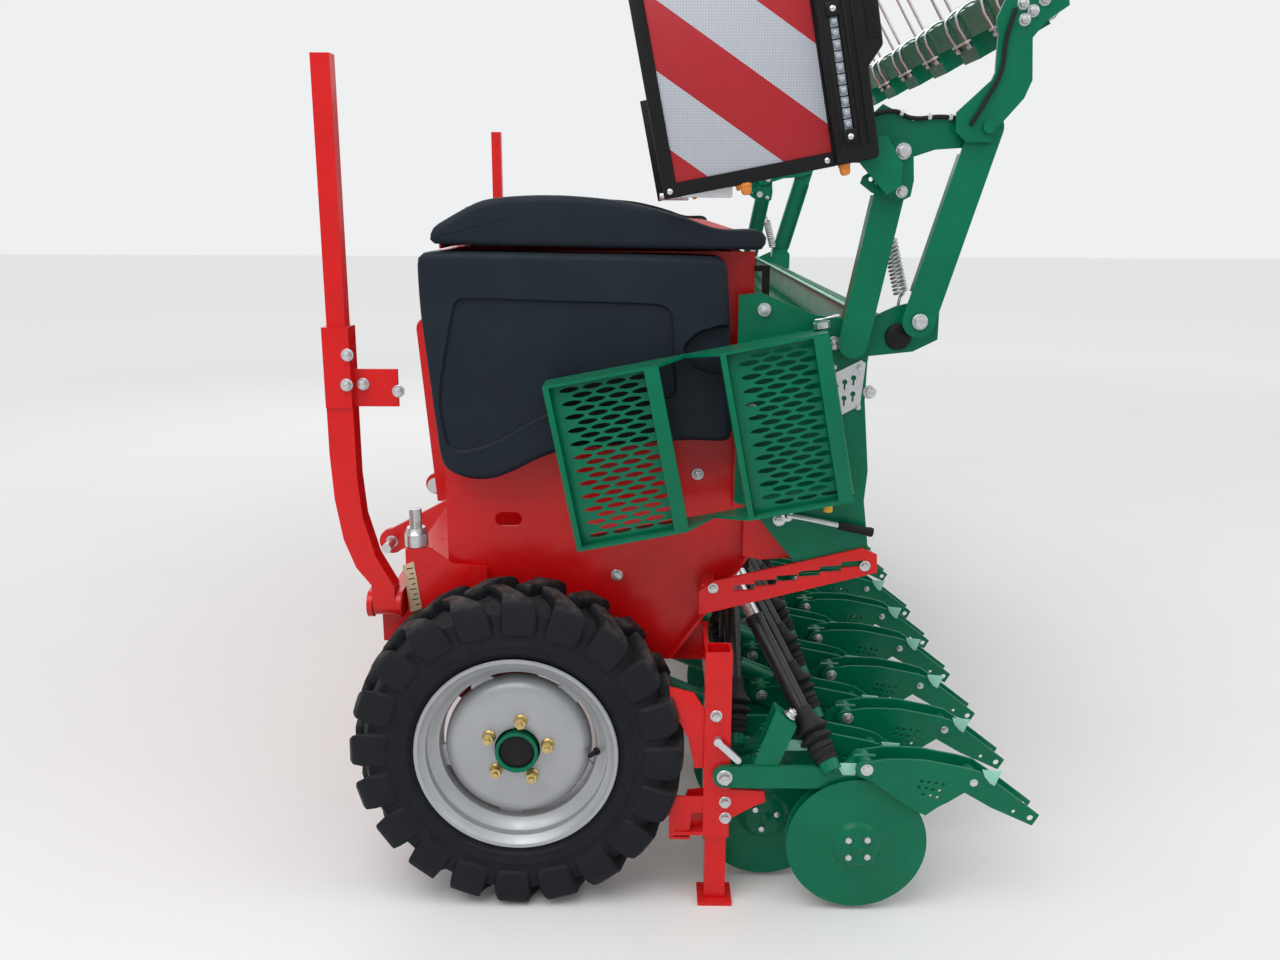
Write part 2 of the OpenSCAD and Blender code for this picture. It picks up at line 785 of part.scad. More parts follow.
module side_plates() {
    color(green) place() both() {
        plate_xz([[-467, 1150], [-467, 1340], [-513, 1345], [-626, 1300], [-730, 1290], [-790, 1318],
                  [-860, 1335], [-880, 1310],
                  [-880, 1250], [-830, 1225], [-738, 1215], [-736, 1122], [-750, 970], [-745, 904], [-765,
                                                            750], [-615, 750],
                  [-560, 815], [-505, 885], [-467, 900]], plate_y, side_plate_t);
    }
}

module platform() {
    deck_z = 1205;
    deck_front = -508;
    deck_rear = -735;
    color(green) place() {
        block([deck_rear, -plate_y, deck_z], [deck_front, plate_y, deck_z + 25]);
        block([deck_rear - 6, -plate_y, deck_z], [deck_rear, plate_y, deck_z + 95]);
        pin_y(cross_tube, -plate_y, plate_y, cross_tube_d);
    }
}
// Black caps on the ends of the round cross tube
module tube_caps() {
    color(dark) place() both() pin_y(cross_tube, plate_out, plate_out + 6, cross_tube_d + 4);
}
// Black grab handles at the rear corners of the hopper
module handles() {
    rear = -535;
    y0 = end_y - 13;
    color(dark) place() both() {
        block([rear, y0, 1252], [rear + 14, y0 + 26, 1397]);
        for (z = [1252, 1385]) block([rear, y0, z], [-505, y0 + 26, z + 12]);
    }
}

// Plate with keyholes on the near side plate
module adjust_plate() {
    t = 3;
    hole_d = 11;
    color(zinc) place() difference() {
        plate_xz([[-663, 1176], [-724, 1207], [-734, 1201], [-726, 1112], [-668, 1080], [-657, 1088]],
                 plate_out, t);
        for (k = [0 : 5]) {
            at = [-674 - 18 * (k % 3), 1118 + 34 * floor(k / 3) + 9 * (k % 3)];
            pin_y(at, plate_out - 1, plate_out + t + 1, hole_d);
            block([at[0] - 2, plate_out - 1, at[1] - 16], [at[0] + 2, plate_out + t + 1, at[1]]);
        }
    }
}

// Channels that stand on the side plates, with the arms that hold the warning boards
module harrow_masts() {
    low = [-700, 1245];
    high = [-770, 1605];
    color(green) place() both() {
        difference() {
            bar_xz(low, high, mast_w, plate_out, channel_d);
            bar_xz(low, high + (high - low) * 0.2, mast_w - 2 * channel_t, plate_out - 1,
                   channel_d - channel_t + 1);
            block([-850, plate_out - 1, 1540], [-700, plate_out + channel_d - channel_t, 1650]);
            pin_y(link_front, plate_out, plate_out + channel_d + 1, pivot_d + 2 * run_gap);
            pin_y(sector_pin, plate_out, plate_out + channel_d + 1, sector_pin_d + 2 * run_gap);
        }
        difference() {
            mast_sector();
            pin_y(link_front, plate_out, plate_out + channel_d + 10, pivot_d + 2 * run_gap);
        }
        board_arm();
    }
}
// Plate with an arc of holes around the mast's top pin
module mast_sector() {
    y = plate_out + channel_d;
    difference() {
        plate_xz([[-757, 1638], [-776, 1646], [-794, 1636], [-800, 1610], [-803, 1568], [-798, 1537],
                  [-780, 1528],
                  [-722, 1544], [-698, 1562], [-702, 1575], [-744, 1603]], y, sector_t);
        for (k = [0 : 3]) pin_y([-718 - 12.5 * k, 1570 - 7 * k], y - 1, y + sector_t + 1, 9);
        pin_y(sector_pin, y - 1, y + sector_t + 1, sector_pin_d + 2 * run_gap);
    }
}
module board_arm() {
    plate_xz([[-772, 1556], [-744, 1540], [-690, 1600], [-560, 1600], [-560, 1650], [-740, 1650],
              [-772, 1600]], board_y - 8, 8);
    block([-768, plate_out + channel_d + sector_t, 1558], [-748, board_y - 8, 1592]);
}
module link_plates() {
    y = link_y;
    color(green) place() both() difference() {
        plate_xz([[-721, 1670], [-725, 1700], [-739, 1713], [-759, 1703], [-799, 1682], [-862, 1692],
                  [-901, 1688], [-958, 1700],
                  [-966, 1690], [-966, 1650], [-920, 1632], [-846, 1627], [-800, 1612], [-770, 1600],
                      [-746, 1600], [-725, 1640]],
                 y, channel_t);
        rear_slot(y);
        pin_y(link_front, y - 1, y + channel_t + 1, pivot_d + 2 * run_gap);
    }
}
// Open slot that the rear pin slides out of
module rear_slot(y) {
    pin_y(link_rear, y - 1, y + channel_t + 1, pivot_d + 2);
    block([link_rear[0] - 60, y - 1, link_rear[1] - pivot_d / 2 - 1], [link_rear[0], y + channel_t + 1,
                                                            link_rear[1] + pivot_d / 2 + 1]);
}
module harrow_pivots() {
    head = plate_out + channel_d + sector_t;
    color(zinc) place() both() {
        pin_y(harrow_pivot, plate_out, arm_out + 2, pivot_d);
        pin_y(harrow_pivot, arm_out + 2, arm_out + 12, pivot_d + 12);
        pin_y(link_front, link_y - 6, head + 2, pivot_d);
        pin_y(link_front, head + 0.3, head + 12, pivot_d + 10);
        pin_y(sector_pin, head - sector_t - 10, head + 10, sector_pin_d);
    }
}

// Channels from the side plates up to the harrow, each with a bent plate on top
module harrow_arms() {
    y0 = plate_out + channel_d - channel_t;
    color(green) place() both() {
        difference() {
            union() {
                bar_xz(harrow_pivot, link_rear, arm_w, y0, channel_t);
                arm_flange(y0, arm_w / 2 - channel_t / 2);
                arm_flange(y0, channel_t / 2 - arm_w / 2);
                plate_xz(bent_plate, arm_out - 8, 8);
            }
            pin_y(harrow_pivot, y0 - 1, arm_out + 1, pivot_d + 2 * run_gap);
        }
        pin_y(link_rear, link_y - 4, arm_out + 10, pivot_d);
    }
}
bent_plate = [[-878, 1660], [-878, 1696], [-941, 1755], [-947, 1770], [-947, 1838], [-942, 1866], [-966,
                                                            1925],
              [-1067, 1960], [-1078, 1890], [-1037, 1862], [-1013, 1832], [-1019, 1755], [-1006, 1722],
                  [-958, 1666],
              [-950, 1640], [-900, 1640]];
// Flange of an arm's channel, shift to one side of the line between its pins
module arm_flange(y0, shift) {
    v = link_rear - harrow_pivot;
    n = [-v[1], v[0]] * shift / norm(v);
    bar_xz(harrow_pivot + n + v * 0.14, harrow_pivot + n + v * 0.84, channel_t, y0 - 20, 20);
}
module at_beam() {
    translate([harrow_beam_c[0], 0, harrow_beam_c[1]]) rotate([0, 30, 0]) children();
}
module harrow_beam() {
    half = arm_out - 8;
    color(green) place() {
        at_beam() block([-harrow_beam_w / 2, -half, -harrow_beam_w / 2], [harrow_beam_w / 2, half,
                                                            harrow_beam_w / 2]);
        for (i = [0 : holder_count - 1]) translate([0, holder_y(i), 0]) at_beam() holder_plate();
    }
}
function holder_y(i) = (i - (holder_count - 1) / 2) * 2400 / (holder_count - 1);
module holder_plate() {
    block([-30, -66, -harrow_beam_w / 2 - 50], [30, 66, -harrow_beam_w / 2 + 1]);
}
module harrow_tines() {
    color(zinc) place() for (i = [0 : holder_count - 1]) for (side = [-1, 1]) {
        y = holder_y(i) + side * 50;
        at_beam() tine(y);
    }
}
module tine(y) {
    low = [-46, y, 430];
    bend = [-46, y, -harrow_beam_w / 2 - 25];
    rod(bend, low, tine_d);
    translate(bend) sphere(d = tine_d);
    rod(bend, [-30, y, -harrow_beam_w / 2 - 25], tine_d);
}

// Coil springs of the outermost coulter arms and of the harrow
module springs() {
    color(zinc) place() both() {
        rod([-525, arm_spring_y, arm_spring_z], [-553, arm_spring_y, arm_spring_z + 62], 17);
        harrow_spring();
    }
}

// Pull spring between the mast's inner edge and the top edge of the side plate
module harrow_spring() {
    y = plate_y - 14;
    top = [-775, 1450];
    foot = [-804, 1342];
    wire = 6;
    rod([top[0], y, top[1]], [foot[0], y, foot[1]], 26);
    rod([top[0], y, top[1]], [top[0] - 1, y, top[1] + 14], wire);
    pin_y([top[0] - 1, top[1] + 14], y - wire / 2, plate_out, wire);
    rod([foot[0], y, foot[1]], [foot[0] + 7, y, foot[1] - 41], wire);
    pin_y([foot[0] + 7, foot[1] - 41], y - wire / 2, plate_y, wire);
}

module board_frames() {
    color(dark) place() both() {
        board_place() difference() {
            block([-board_w / 2, 0, 0], [board_w / 2, board_t, board_w - 7]);
            block([-board_face, board_t - 8, board_rim],
                  [board_w / 2 - board_rim, board_t + 1, board_w - 7 - board_rim]);
        }
        board_place() block([-board_w / 2, board_t - 1, 0], [-board_face - 5, board_t + board_case_t, board_w - 7]);
    }
}
module board_panels() {
    color(red) place() both() {
        board_place() block([-board_face, board_t - 8, board_rim],
                            [board_w / 2 - board_rim, board_t - 5, board_w - 7 - board_rim]);
    }
}
module board_place() {
    translate([-511, board_y, 1568]) rotate([0, 11, 0]) children();
}
module lamps() {
    color(amber) place() both() {
        board_place() for (x = [-149, 44])
            translate([x, board_t / 2, 0]) mirror([0, 0, 1]) {
                translate([-board_lamp_d / 2, -board_t / 2 + 1, 0]) cube([board_lamp_d, board_t - 2, 14]);
                translate([0, 0, 13]) cylinder(h = 9, r1 = board_t / 2 - 1, r2 = board_t / 2 - 5);
            }
    }
}

// Plates with stepped slots between the hopper's ends and the green side plates
module saw_plates() {
    color(red) place() both() {
        difference() {
            plate_xz([[-395, 645], [-395, 700], [-425, 722], [-745, 800], [-778, 786], [-780, 745]],
                     plate_out, saw_t);
            saw_slot(-470, 700, 3);
            saw_slot(-610, 733, 3);
        }
        block([-430, end_y, 690], [-400, plate_out, 714]);
        plate_xz([[-533, 880], [-491, 880], [-491, 770], [-533, 762]], end_y + 34, 8);
        plate_xz([[-525, 872], [-533, 872], [-600, 800], [-604, 768], [-525, 762]], end_y + 34, 8);
        block([-533, end_y, 868], [-491, end_y + 34, 880]);
    }
}
// Slot of n steps that climbs backward from (x, z)
module saw_slot(x, z, n) {
    step = 46;
    rise = 11;
    slot_w = 14;
    lower = [for (k = [0 : n - 1], e = [0, 1]) [x - (k + e) * step, z + k * rise + 4 * e]];
    upper = [for (k = [n - 1 : -1 : 0], e = [1, 0]) [x - (k + e) * step, z + k * rise + 4 * e + slot_w]];
    plate_xz(concat(lower, upper), plate_out - 1, saw_t + 2);
}

module stand_brackets() {
    color(red) place() both() {
        difference() {
            block([stand_x - sleeve_out, stand_y - sleeve_out, sleeve_z],
                  [stand_x + sleeve_out, stand_y + sleeve_out, sleeve_top]);
            block([stand_x - sleeve_in, stand_y - sleeve_in, sleeve_z - 1],
                  [stand_x + sleeve_in, stand_y + sleeve_in, sleeve_top + 1]);
            pin_y([stand_x, stand_pin_z], stand_y, stand_y + sleeve_out + 1, stand_pin_d + 2 * run_gap);
        }
        block([stand_x + sleeve_out - 10, end_y, 515], [stand_x + sleeve_out, stand_y - sleeve_out, 595]);
        pin_y(short_pivot_front, outer_row_y - row_pitch + shank_t / 2, stand_y - sleeve_out, 40);
        stand_gussets();
    }
}
// Plates that brace the sleeve forward and back
module stand_gussets() {
    x0 = stand_x - sleeve_out;
    x1 = stand_x + sleeve_out;
    plate_xz([[x0, 282], [x0 - 72, 278], [x0 - 76, 255], [x0, 210]], stand_y + sleeve_out - 8, 8);
    plate_xz([[x1, 268], [x1 + 34, 264], [x1 + 60, 172], [x1, sleeve_z + 4]], stand_y - 4, 8);
    block([x1, stand_y - 28, sleeve_z + 4], [x1 + 62, stand_y + 28, sleeve_z + 12]);
    plate_xz([[x1, 390], [x1 + 24, 392], [x1 + 44, 498], [x1 + 20, 492], [x1, 455]], stand_y - 4, 8);
}
module stand_pins() {
    pin_out = stand_y + sleeve_out;
    color(zinc) place() both() {
        pin_y([stand_x, stand_pin_z], stand_y + sleeve_in + seat_gap, pin_out + 16, stand_pin_d);
        bar_xz([stand_x, stand_pin_z], [stand_x - 44, stand_pin_z - 42], 14, pin_out + 6, 10);
    }
}
module stand_left() {
    stand(1);
}
module stand_right() {
    stand(-1);
}
module stand(side) {
    color(red) place() translate([stand_x, side * stand_y, 0]) {
        block([-stand_d / 2, -stand_d / 2, foot_t - 1], [stand_d / 2, stand_d / 2, stand_top]);
        block([-foot_w / 2, -foot_w / 2, 0], [foot_w / 2, foot_w / 2, foot_t]);
    }
}

module marker_brackets() {
    color(red) place() both() {
        block([marker_x0 - 13, end_y, marker_z - 30], [marker_x1 + 13, end_y + 8, marker_z + 30]);
        for (x = [marker_x0 - 13, marker_x1 + 1]) {
            block([x, end_y, marker_z - 30], [x + 12, marker_y, marker_z + 30]);
            translate([x, marker_y, marker_z]) rotate([0, 90, 0]) cylinder(h = 12, r = 30);
        }
        translate([marker_x0 - 13, marker_y, marker_z]) rotate([0, 90,
                                                            0]) cylinder(h = marker_x1 - marker_x0 + 26,
                                                            d = marker_pin_d);
    }
}
module marker_left() {
    marker();
}
module marker_right() {
    mirror([0, 1, 0]) marker();
}
module marker() {
    color(red) place() {
        difference() {
            union() {
                translate([marker_x0, marker_y, marker_z]) rotate([0, 90,
                                                            0]) cylinder(h = marker_x1 - marker_x0,
                                                            r = marker_r);
                plate_xz([[399, neck_top], [399, 1000], [394, 900], [380, 810], [356, 745], [marker_x1,
                                                            705], [marker_x1, marker_z],
                          [marker_x0, marker_z], [marker_x0, 700], [312, 770], [336, 860], [343, 950],
                              [343, neck_top]],
                         marker_y - marker_r, 2 * marker_r);
            }
            translate([marker_x0 - 1, marker_y, marker_z]) rotate([0, 90,
                                                            0]) cylinder(h = marker_x1 - marker_x0 + 2,
                                                            d = marker_pin_d + 2 * run_gap);
        }
        block([post_x, marker_y - post_w / 2, neck_top - 1], [post_x + post_w, marker_y + post_w / 2,
                                                            post_top]);
        block([343, marker_y - 30, neck_top - 10], [399, marker_y + 30, 1270]);
        block([250, marker_y - 4, neck_top - 10], [344, marker_y + 4, 1180]);
    }
}

module step_place() {
    translate([step_hinge[0], 0, step_hinge[1]]) rotate([0, step_lean, 0]) children();
}
// Stepped cheek plates with ribs, drawn from the hinge line
module step_frame() {
    color(green) place() step_place() difference() {
        union() {
            for (z = [-172, 172]) translate([0, 0, z - 3]) linear_extrude(6)
                polygon([[0, step_in], [0, step_y], [215, step_y], [285, step_in + 20], [345, step_y],
                         [575, step_y], [575, step_in]]);
            for (x = [0, 210, 340, 569]) block([x, step_in, -172], [x + 6, step_y, 172]);
            translate([step_pin_x, step_pin_y, -175]) cylinder(h = 350, d = step_sleeve_d);
        }
        translate([step_pin_x, step_pin_y, -176]) cylinder(h = 352, d = step_pin_d + 2 * run_gap);
    }
}
module step_mesh() {
    color(green) place() step_place() {
        block([6, step_y - 6, -169], [210, step_y - 2, 169]);
        block([346, step_y - 6, -169], [569, step_y - 2, 169]);
    }
}
module step_bracket() {
    color(green) place() step_place() {
        translate([step_pin_x, step_pin_y, -190]) cylinder(h = 380, d = step_pin_d);
        for (z = [-190, 178]) block([step_pin_x - 13, plate_out, z], [step_pin_x + 13, step_pin_y + 13,
                                                            z + 12]);
    }
}

main_frame();
headstock();
hitch_pins();
hopper();
end_plates();
side_covers();
lid_top();
lid_caps();
lid_hinge();
metering();
seed_tubes();
tube_tops();
bellows();
coulter_beam();
arms_rear();
arms_front();
carriers_rear();
carriers_front();
discs_rear();
discs_front();
wheel_arms();
spindle_housings();
wheel_spindles();
tyre_left();
tyre_right();
rim_left();
rim_right();
hub_left();
hub_right();
side_plates();
platform();
tube_caps();
handles();
adjust_plate();
harrow_masts();
link_plates();
harrow_pivots();
harrow_arms();
harrow_beam();
harrow_tines();
springs();
board_frames();
board_panels();
lamps();
saw_plates();
stand_brackets();
stand_pins();
stand_left();
stand_right();
marker_brackets();
marker_left();
marker_right();
step_frame();
step_mesh();
step_bracket();
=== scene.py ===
"""Dresses the seed drill: a finish for every solid, and the fine shapes that stand for or lie on them."""

import json
import logging
import math
from dataclasses import dataclass
from enum import Enum
from typing import Callable, Iterable, Sequence

import bpy
from mathutils import Matrix, Vector


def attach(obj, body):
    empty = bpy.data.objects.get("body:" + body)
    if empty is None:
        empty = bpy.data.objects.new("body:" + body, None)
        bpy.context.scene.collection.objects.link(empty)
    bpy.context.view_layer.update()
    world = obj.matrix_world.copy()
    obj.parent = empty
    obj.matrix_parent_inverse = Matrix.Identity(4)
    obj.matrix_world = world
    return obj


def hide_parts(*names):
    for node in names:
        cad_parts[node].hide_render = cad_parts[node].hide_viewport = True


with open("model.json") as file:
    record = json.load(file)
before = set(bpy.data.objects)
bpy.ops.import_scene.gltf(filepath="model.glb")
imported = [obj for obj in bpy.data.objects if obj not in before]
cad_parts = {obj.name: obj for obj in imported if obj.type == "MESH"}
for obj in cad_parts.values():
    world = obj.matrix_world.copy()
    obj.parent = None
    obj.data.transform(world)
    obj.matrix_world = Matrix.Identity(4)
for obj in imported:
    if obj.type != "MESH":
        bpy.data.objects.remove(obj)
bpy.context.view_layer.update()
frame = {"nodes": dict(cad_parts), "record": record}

LOG = logging.getLogger("seed_drill")
AXLE_X = 294.5
WHEEL_R = 365.0
WHEEL_Y = 1370.0
CROSS_TUBE = (-798.0, 1256.0)
UP = Vector((0, 0, 1))
OUT = Vector((0, 1, 0))
FLIP = Matrix.Scale(-1, 4, (0, 1, 0))
Pair = tuple[float, float]
Triple = tuple[float, float, float]
Outline = tuple[Pair, ...]
Run = tuple[Triple, ...]
Piece = bpy.types.Object
Socket = bpy.types.NodeSocket


def at(x: float, y: float, z: float) -> Vector:
    """Gives the place in metres of a point in millimetres measured from the wheel axle."""
    return Vector(((x + AXLE_X) / 1000, y / 1000, z / 1000))


HOME = Matrix.Translation(-at(0, 0, 0))


def tilted(x: float, y: float, z: float, degrees: float) -> Matrix:
    """Gives the move of a model made at the axle to a place, turned about Y."""
    return Matrix.Translation(at(x, y, z)) @ Matrix.Rotation(math.radians(degrees), 4, "Y") @ HOME


def about(centre: Vector, turn: Matrix) -> Matrix:
    """Gives a turn around a place instead of the origin."""
    return Matrix.Translation(centre) @ turn @ Matrix.Translation(-centre)


def facing(point: Vector, way: Vector, size: float = 1.0, roll: float = 0.0) -> Matrix:
    """Gives the matrix that stands a model's Z axis on a point along a way."""
    turn = way.to_track_quat("Z", "Y").to_matrix().to_4x4()
    return Matrix.Translation(point) @ turn @ Matrix.Rotation(roll, 4, "Z") @ Matrix.Scale(size, 4)


def mirrored(places: Sequence[Matrix]) -> list[Matrix]:
    """Adds the same places on the machine's right side."""
    return [*places, *(FLIP @ place for place in places)]


class Tagged(Enum):
    """A choice whose options are also words in the names of pieces and bodies."""

    @property
    def tag(self) -> str:
        """Gives the option's word."""
        return self.name.lower()


class Side(Tagged):
    """The two ends of the machine, with the sign of their Y."""

    LEFT = 1
    RIGHT = -1


class Row(Tagged):
    """The two rows of coulters, with the number of their first one."""

    REAR = 0
    FRONT = 1


class Web:
    """A material's node tree while it is wired up."""

    def __init__(self, name: str) -> None:
        """Starts a material with one principled shader.

        Args:
            name: Name of the material.
        """
        self.material = bpy.data.materials.new(name)
        self.material.use_nodes = True
        self.tree = self.material.node_tree
        self.shader = self.tree.nodes["Principled BSDF"]
        self.place = self.add("ShaderNodeTexCoord").outputs["Object"]

    def add(self, kind: str, inputs: dict | None = None, **settings: object) -> bpy.types.Node:
        """Adds a node.

        Args:
            kind: Type name of the node.
            inputs: Sockets by name or number, each a value or a socket to link.
            **settings: The node's own properties.

        Returns:
            The new node.
        """
        node = self.tree.nodes.new(kind)
        for key, value in settings.items():
            setattr(node, key, value)
        for key, value in (inputs or {}).items():
            self.feed(node, key, value)
        return node

    def feed(self, node: bpy.types.Node, key: str | int, value: object) -> None:
        """Sets or links one input of a node.

        Args:
            node: The node.
            key: Name or number of the input.
            value: A plain value, or a socket to link.
        """
        if isinstance(value, Socket):
            self.tree.links.new(value, node.inputs[key])
        else:
            node.inputs[key].default_value = value

    def math(self, kind: str, *values: object) -> Socket:
        """Gives the result of a Math node."""
        return self.add("ShaderNodeMath", dict(enumerate(values)), operation=kind).outputs[0]

    def noise(self, scale: float, detail: float = 3.0) -> Socket:
        """Gives noise at a scale per metre."""
        inputs = {"Vector": self.place, "Scale": scale, "Detail": detail, "Roughness": 0.6}
        return self.add("ShaderNodeTexNoise", inputs).outputs["Fac"]

    def span(self, value: object, low: float, high: float, start: float = 0.0, end: float = 1.0) -> Socket:
        """Maps a value from start..end to low..high, held at the ends."""
        inputs = {"Value": value, "From Min": start, "From Max": end, "To Min": low, "To Max": high}
        return self.add("ShaderNodeMapRange", inputs).outputs["Result"]

    def blend(self, factor: Socket, first: Socket | Triple, second: Socket | Triple) -> Socket:
        """Mixes two colours.

        Args:
            factor: Share of the second colour.
            first: A colour, or a socket that gives one.
            second: The other colour.

        Returns:
            The mixed colour.
        """
        node = self.add("ShaderNodeMix", {0: factor}, data_type="RGBA")
        for key, value in ((6, first), (7, second)):
            self.feed(node, key, (*value, 1.0) if isinstance(value, tuple) else value)
        return node.outputs[2]

    def bump(self, height: Socket, strength: float, distance: float) -> None:
        """Runs a height through a Bump node into the shader."""
        inputs = {"Height": height, "Strength": strength, "Distance": distance}
        self.feed(self.shader, "Normal", self.add("ShaderNodeBump", inputs).outputs["Normal"])

    def axes(self, vector: Socket) -> Sequence[Socket]:
        """Splits a vector into X, Y and Z."""
        return self.add("ShaderNodeSeparateXYZ", {0: vector}).outputs


@dataclass(frozen=True)
class Finish:
    """A surface with a little change of tone, a fine grain, and dust where it lies flat."""

    slot: str
    color: Triple
    rough: Pair
    metallic: float = 0.0
    tone: float = 0.12
    tone_scale: float = 9.0
    grain: float = 500.0
    grain_depth: float = 0.00004
    dust: float = 0.1
    dust_color: Triple = (0.42, 0.39, 0.34)
    coat: float = 0.0
    sheen: float = 0.3
    label: str = ""

    def material(self) -> bpy.types.Material:
        """Gives the finish's material, which is made once.

        Returns:
            The material.
        """
        name = f"fine_{self.slot}{self.label}"
        if name not in bpy.data.materials:
            self.wire(Web(name))
        return bpy.data.materials[name]

    def wire(self, web: Web) -> None:
        """Wires colour, roughness, dust and grain.

        Args:
            web: The node tree to fill.
        """
        dark = tuple(c * (1 - self.tone) for c in self.color)
        light = tuple(min(1.0, c * (1 + self.tone)) for c in self.color)
        color = web.blend(web.span(web.noise(self.tone_scale, 4.0), 0, 1, 0.3, 0.7), dark, light)
        up = web.axes(web.add("ShaderNodeNewGeometry").outputs["Normal"])["Z"]
        patches = web.span(web.noise(60, 6.0), 0.3, 1, 0.35, 0.65)
        lying = web.math("MULTIPLY", web.span(up, 0, self.dust, 0.55, 1.0), patches)
        color = web.blend(lying, color, self.dust_color)
        web.feed(web.shader, "Base Color", self.tint(web, color))
        rough = web.span(web.noise(35), *self.rough, 0.35, 0.65)
        web.feed(web.shader, "Roughness", web.math("ADD", rough, lying))
        fixed = {"Metallic": self.metallic, "Specular IOR Level": self.sheen}
        fixed |= {"Coat Weight": self.coat, "Coat Roughness": 0.15}
        for key, value in fixed.items():
            web.shader.inputs[key].default_value = value
        web.bump(self.relief(web), 0.6, self.grain_depth)

    def tint(self, web: Web, color: Socket) -> Socket:
        """Gives the final colour, for finishes that draw over the plain one."""
        return color

    def relief(self, web: Web) -> Socket:
        """Gives the height that the grain and its like have."""
        return web.noise(self.grain, 2.0)


class MouldedGrain(Finish):
    """Rotationally moulded plastic with a pebbled skin."""

    def relief(self, web: Web) -> Socket:
        """Gives the pebbled height.

        Args:
            web: The node tree to add to.

        Returns:
            The height.
        """
        inputs = {"Vector": web.place, "Scale": self.grain}
        cells = web.add("ShaderNodeTexVoronoi", inputs, feature="SMOOTH_F1")
        return web.math("ADD", cells.outputs["Distance"], web.noise(self.grain * 0.3, 4.0))


class TyreRubber(Finish):
    """Tyre rubber, with fine rings on the walls and dust from the ground on the lugs."""

    rings = 1400.0
    ring_height = 4.0
    wall_end = (0.262, 0.268)
    tread = (0.35, 0.366)
    soil = (0.13, 0.12, 0.105)

    def radius(self, web: Web) -> Socket:
        """Gives the distance from the axle.

        Args:
            web: The node tree to add to.

        Returns:
            The distance in metres.
        """
        inputs = {"Vector": web.place, "Location": (-AXLE_X / 1000, 0, -WHEEL_R / 1000)}
        x, _, z = web.axes(web.add("ShaderNodeMapping", inputs).outputs[0])
        squares = web.math("ADD", web.math("MULTIPLY", x, x), web.math("MULTIPLY", z, z))
        return web.math("SQRT", squares)

    def tint(self, web: Web, color: Socket) -> Socket:
        """Gives the rubber's colour, paler where a lug meets the ground.

        Args:
            web: The node tree to add to.
            color: The rubber's own colour.

        Returns:
            The colour with the soil on it.
        """
        patches = web.span(web.noise(40, 5), 0, 1, 0.4, 0.6)
        worn = web.math("MULTIPLY", web.span(self.radius(web), 0, 0.5, *self.tread), patches)
        return web.blend(worn, color, self.soil)

    def relief(self, web: Web) -> Socket:
        """Gives rings on the wall and a fine grain.

        Args:
            web: The node tree to add to.

        Returns:
            The height.
        """
        rings = web.math("SINE", web.math("MULTIPLY", self.radius(web), self.rings))
        wall = web.span(self.radius(web), 1, 0, *self.wall_end)
        height = web.math("MULTIPLY", web.math("MULTIPLY", rings, wall), self.ring_height)
        return web.math("ADD", height, web.noise(self.grain, 3.0))


class BoardSheeting(Finish):
    """Red and white reflective sheeting with slanted stripes, on the face of a warning board."""

    slant = (-557.0, 831.0)
    start = 1467.0
    pitch = 207.0
    cells = 190.0
    white = ((0.25, 0.27, 0.31), (0.46, 0.48, 0.53))
    ruby = ((0.26, 0.009, 0.013), (0.40, 0.018, 0.026))

    def tint(self, web: Web, color: Socket) -> Socket:
        """Gives the stripes over the sheeting's honeycomb.

        Args:
            web: The node tree to add to.
            color: The plain colour, which the stripes cover.

        Returns:
            The colour of the stripes.
        """
        x, _, z = web.axes(web.place)
        across, up = self.slant
        along = web.math("ADD", web.math("MULTIPLY", x, across), web.math("MULTIPLY", z, up))
        shift = web.math("SUBTRACT", along, self.start)
        band = web.math("FRACT", web.math("DIVIDE", shift, self.pitch))
        red = web.math("LESS_THAN", band, 0.5)
        inputs = {"Vector": web.place, "Scale": self.cells, "Randomness": 0.1}
        cells = web.add("ShaderNodeTexVoronoi", inputs, feature="DISTANCE_TO_EDGE")
        comb = web.span(cells.outputs["Distance"], 0.1, 1.0, 0.02, 0.10)
        return web.blend(red, web.blend(comb, *self.white), web.blend(comb, *self.ruby))


RED = Finish("red_paint", (0.62, 0.004, 0.005), (0.24, 0.36), tone=0.07, dust=0.05, coat=0.15)
GREEN = Finish(
    "green_paint", (0.0, 0.142, 0.070), (0.22, 0.36), tone=0.1, dust=0.04, coat=0.1, sheen=0.16
)
# A paler copy of the green paint: a painted highlight that stands for green faces in sunlight, not a paint
# of its own.
PAINTED_HIGHLIGHT_GREEN = Finish("green_paint", (0.30, 0.62, 0.52), (0.3, 0.45), label="_mint")
COVER = MouldedGrain(
    "cover_plastic", (0.012, 0.018, 0.026), (0.45, 0.58),
    grain=700, grain_depth=0.00012, dust=0.04, sheen=0.14,
)
BLACK = Finish("black_plastic", (0.009, 0.009, 0.010), (0.4, 0.55), dust=0.05, sheen=0.18)
TUBE = Finish("tube_plastic", (0.012, 0.012, 0.013), (0.25, 0.4), dust=0.06)
RUBBER = Finish(
    "rubber", (0.012, 0.0125, 0.014), (0.5, 0.68),
    grain=900, grain_depth=0.0001, dust=0.06, sheen=0.2,
)
TYRE = TyreRubber(
    "tyre", (0.011, 0.0125, 0.016), (0.5, 0.68),
    grain=700, grain_depth=0.0002, dust=0.06, sheen=0.14,
)
RIM = Finish("rim_paint", (0.40, 0.41, 0.43), (0.34, 0.46), metallic=0.5, tone=0.05, dust=0.05)
ZINC = Finish(
    "zinc", (0.62, 0.63, 0.65), (0.28, 0.42), metallic=0.9, tone=0.1, tone_scale=120.0, dust=0.05
)
GOLD = Finish(
    "zinc", (0.62, 0.47, 0.2), (0.3, 0.42),
    metallic=0.9, tone=0.1, tone_scale=120.0, dust=0.0, label="_gold",
)
BEIGE = Finish("zinc", (0.60, 0.47, 0.30), (0.4, 0.5), metallic=0.2, dust=0.03, label="_beige")
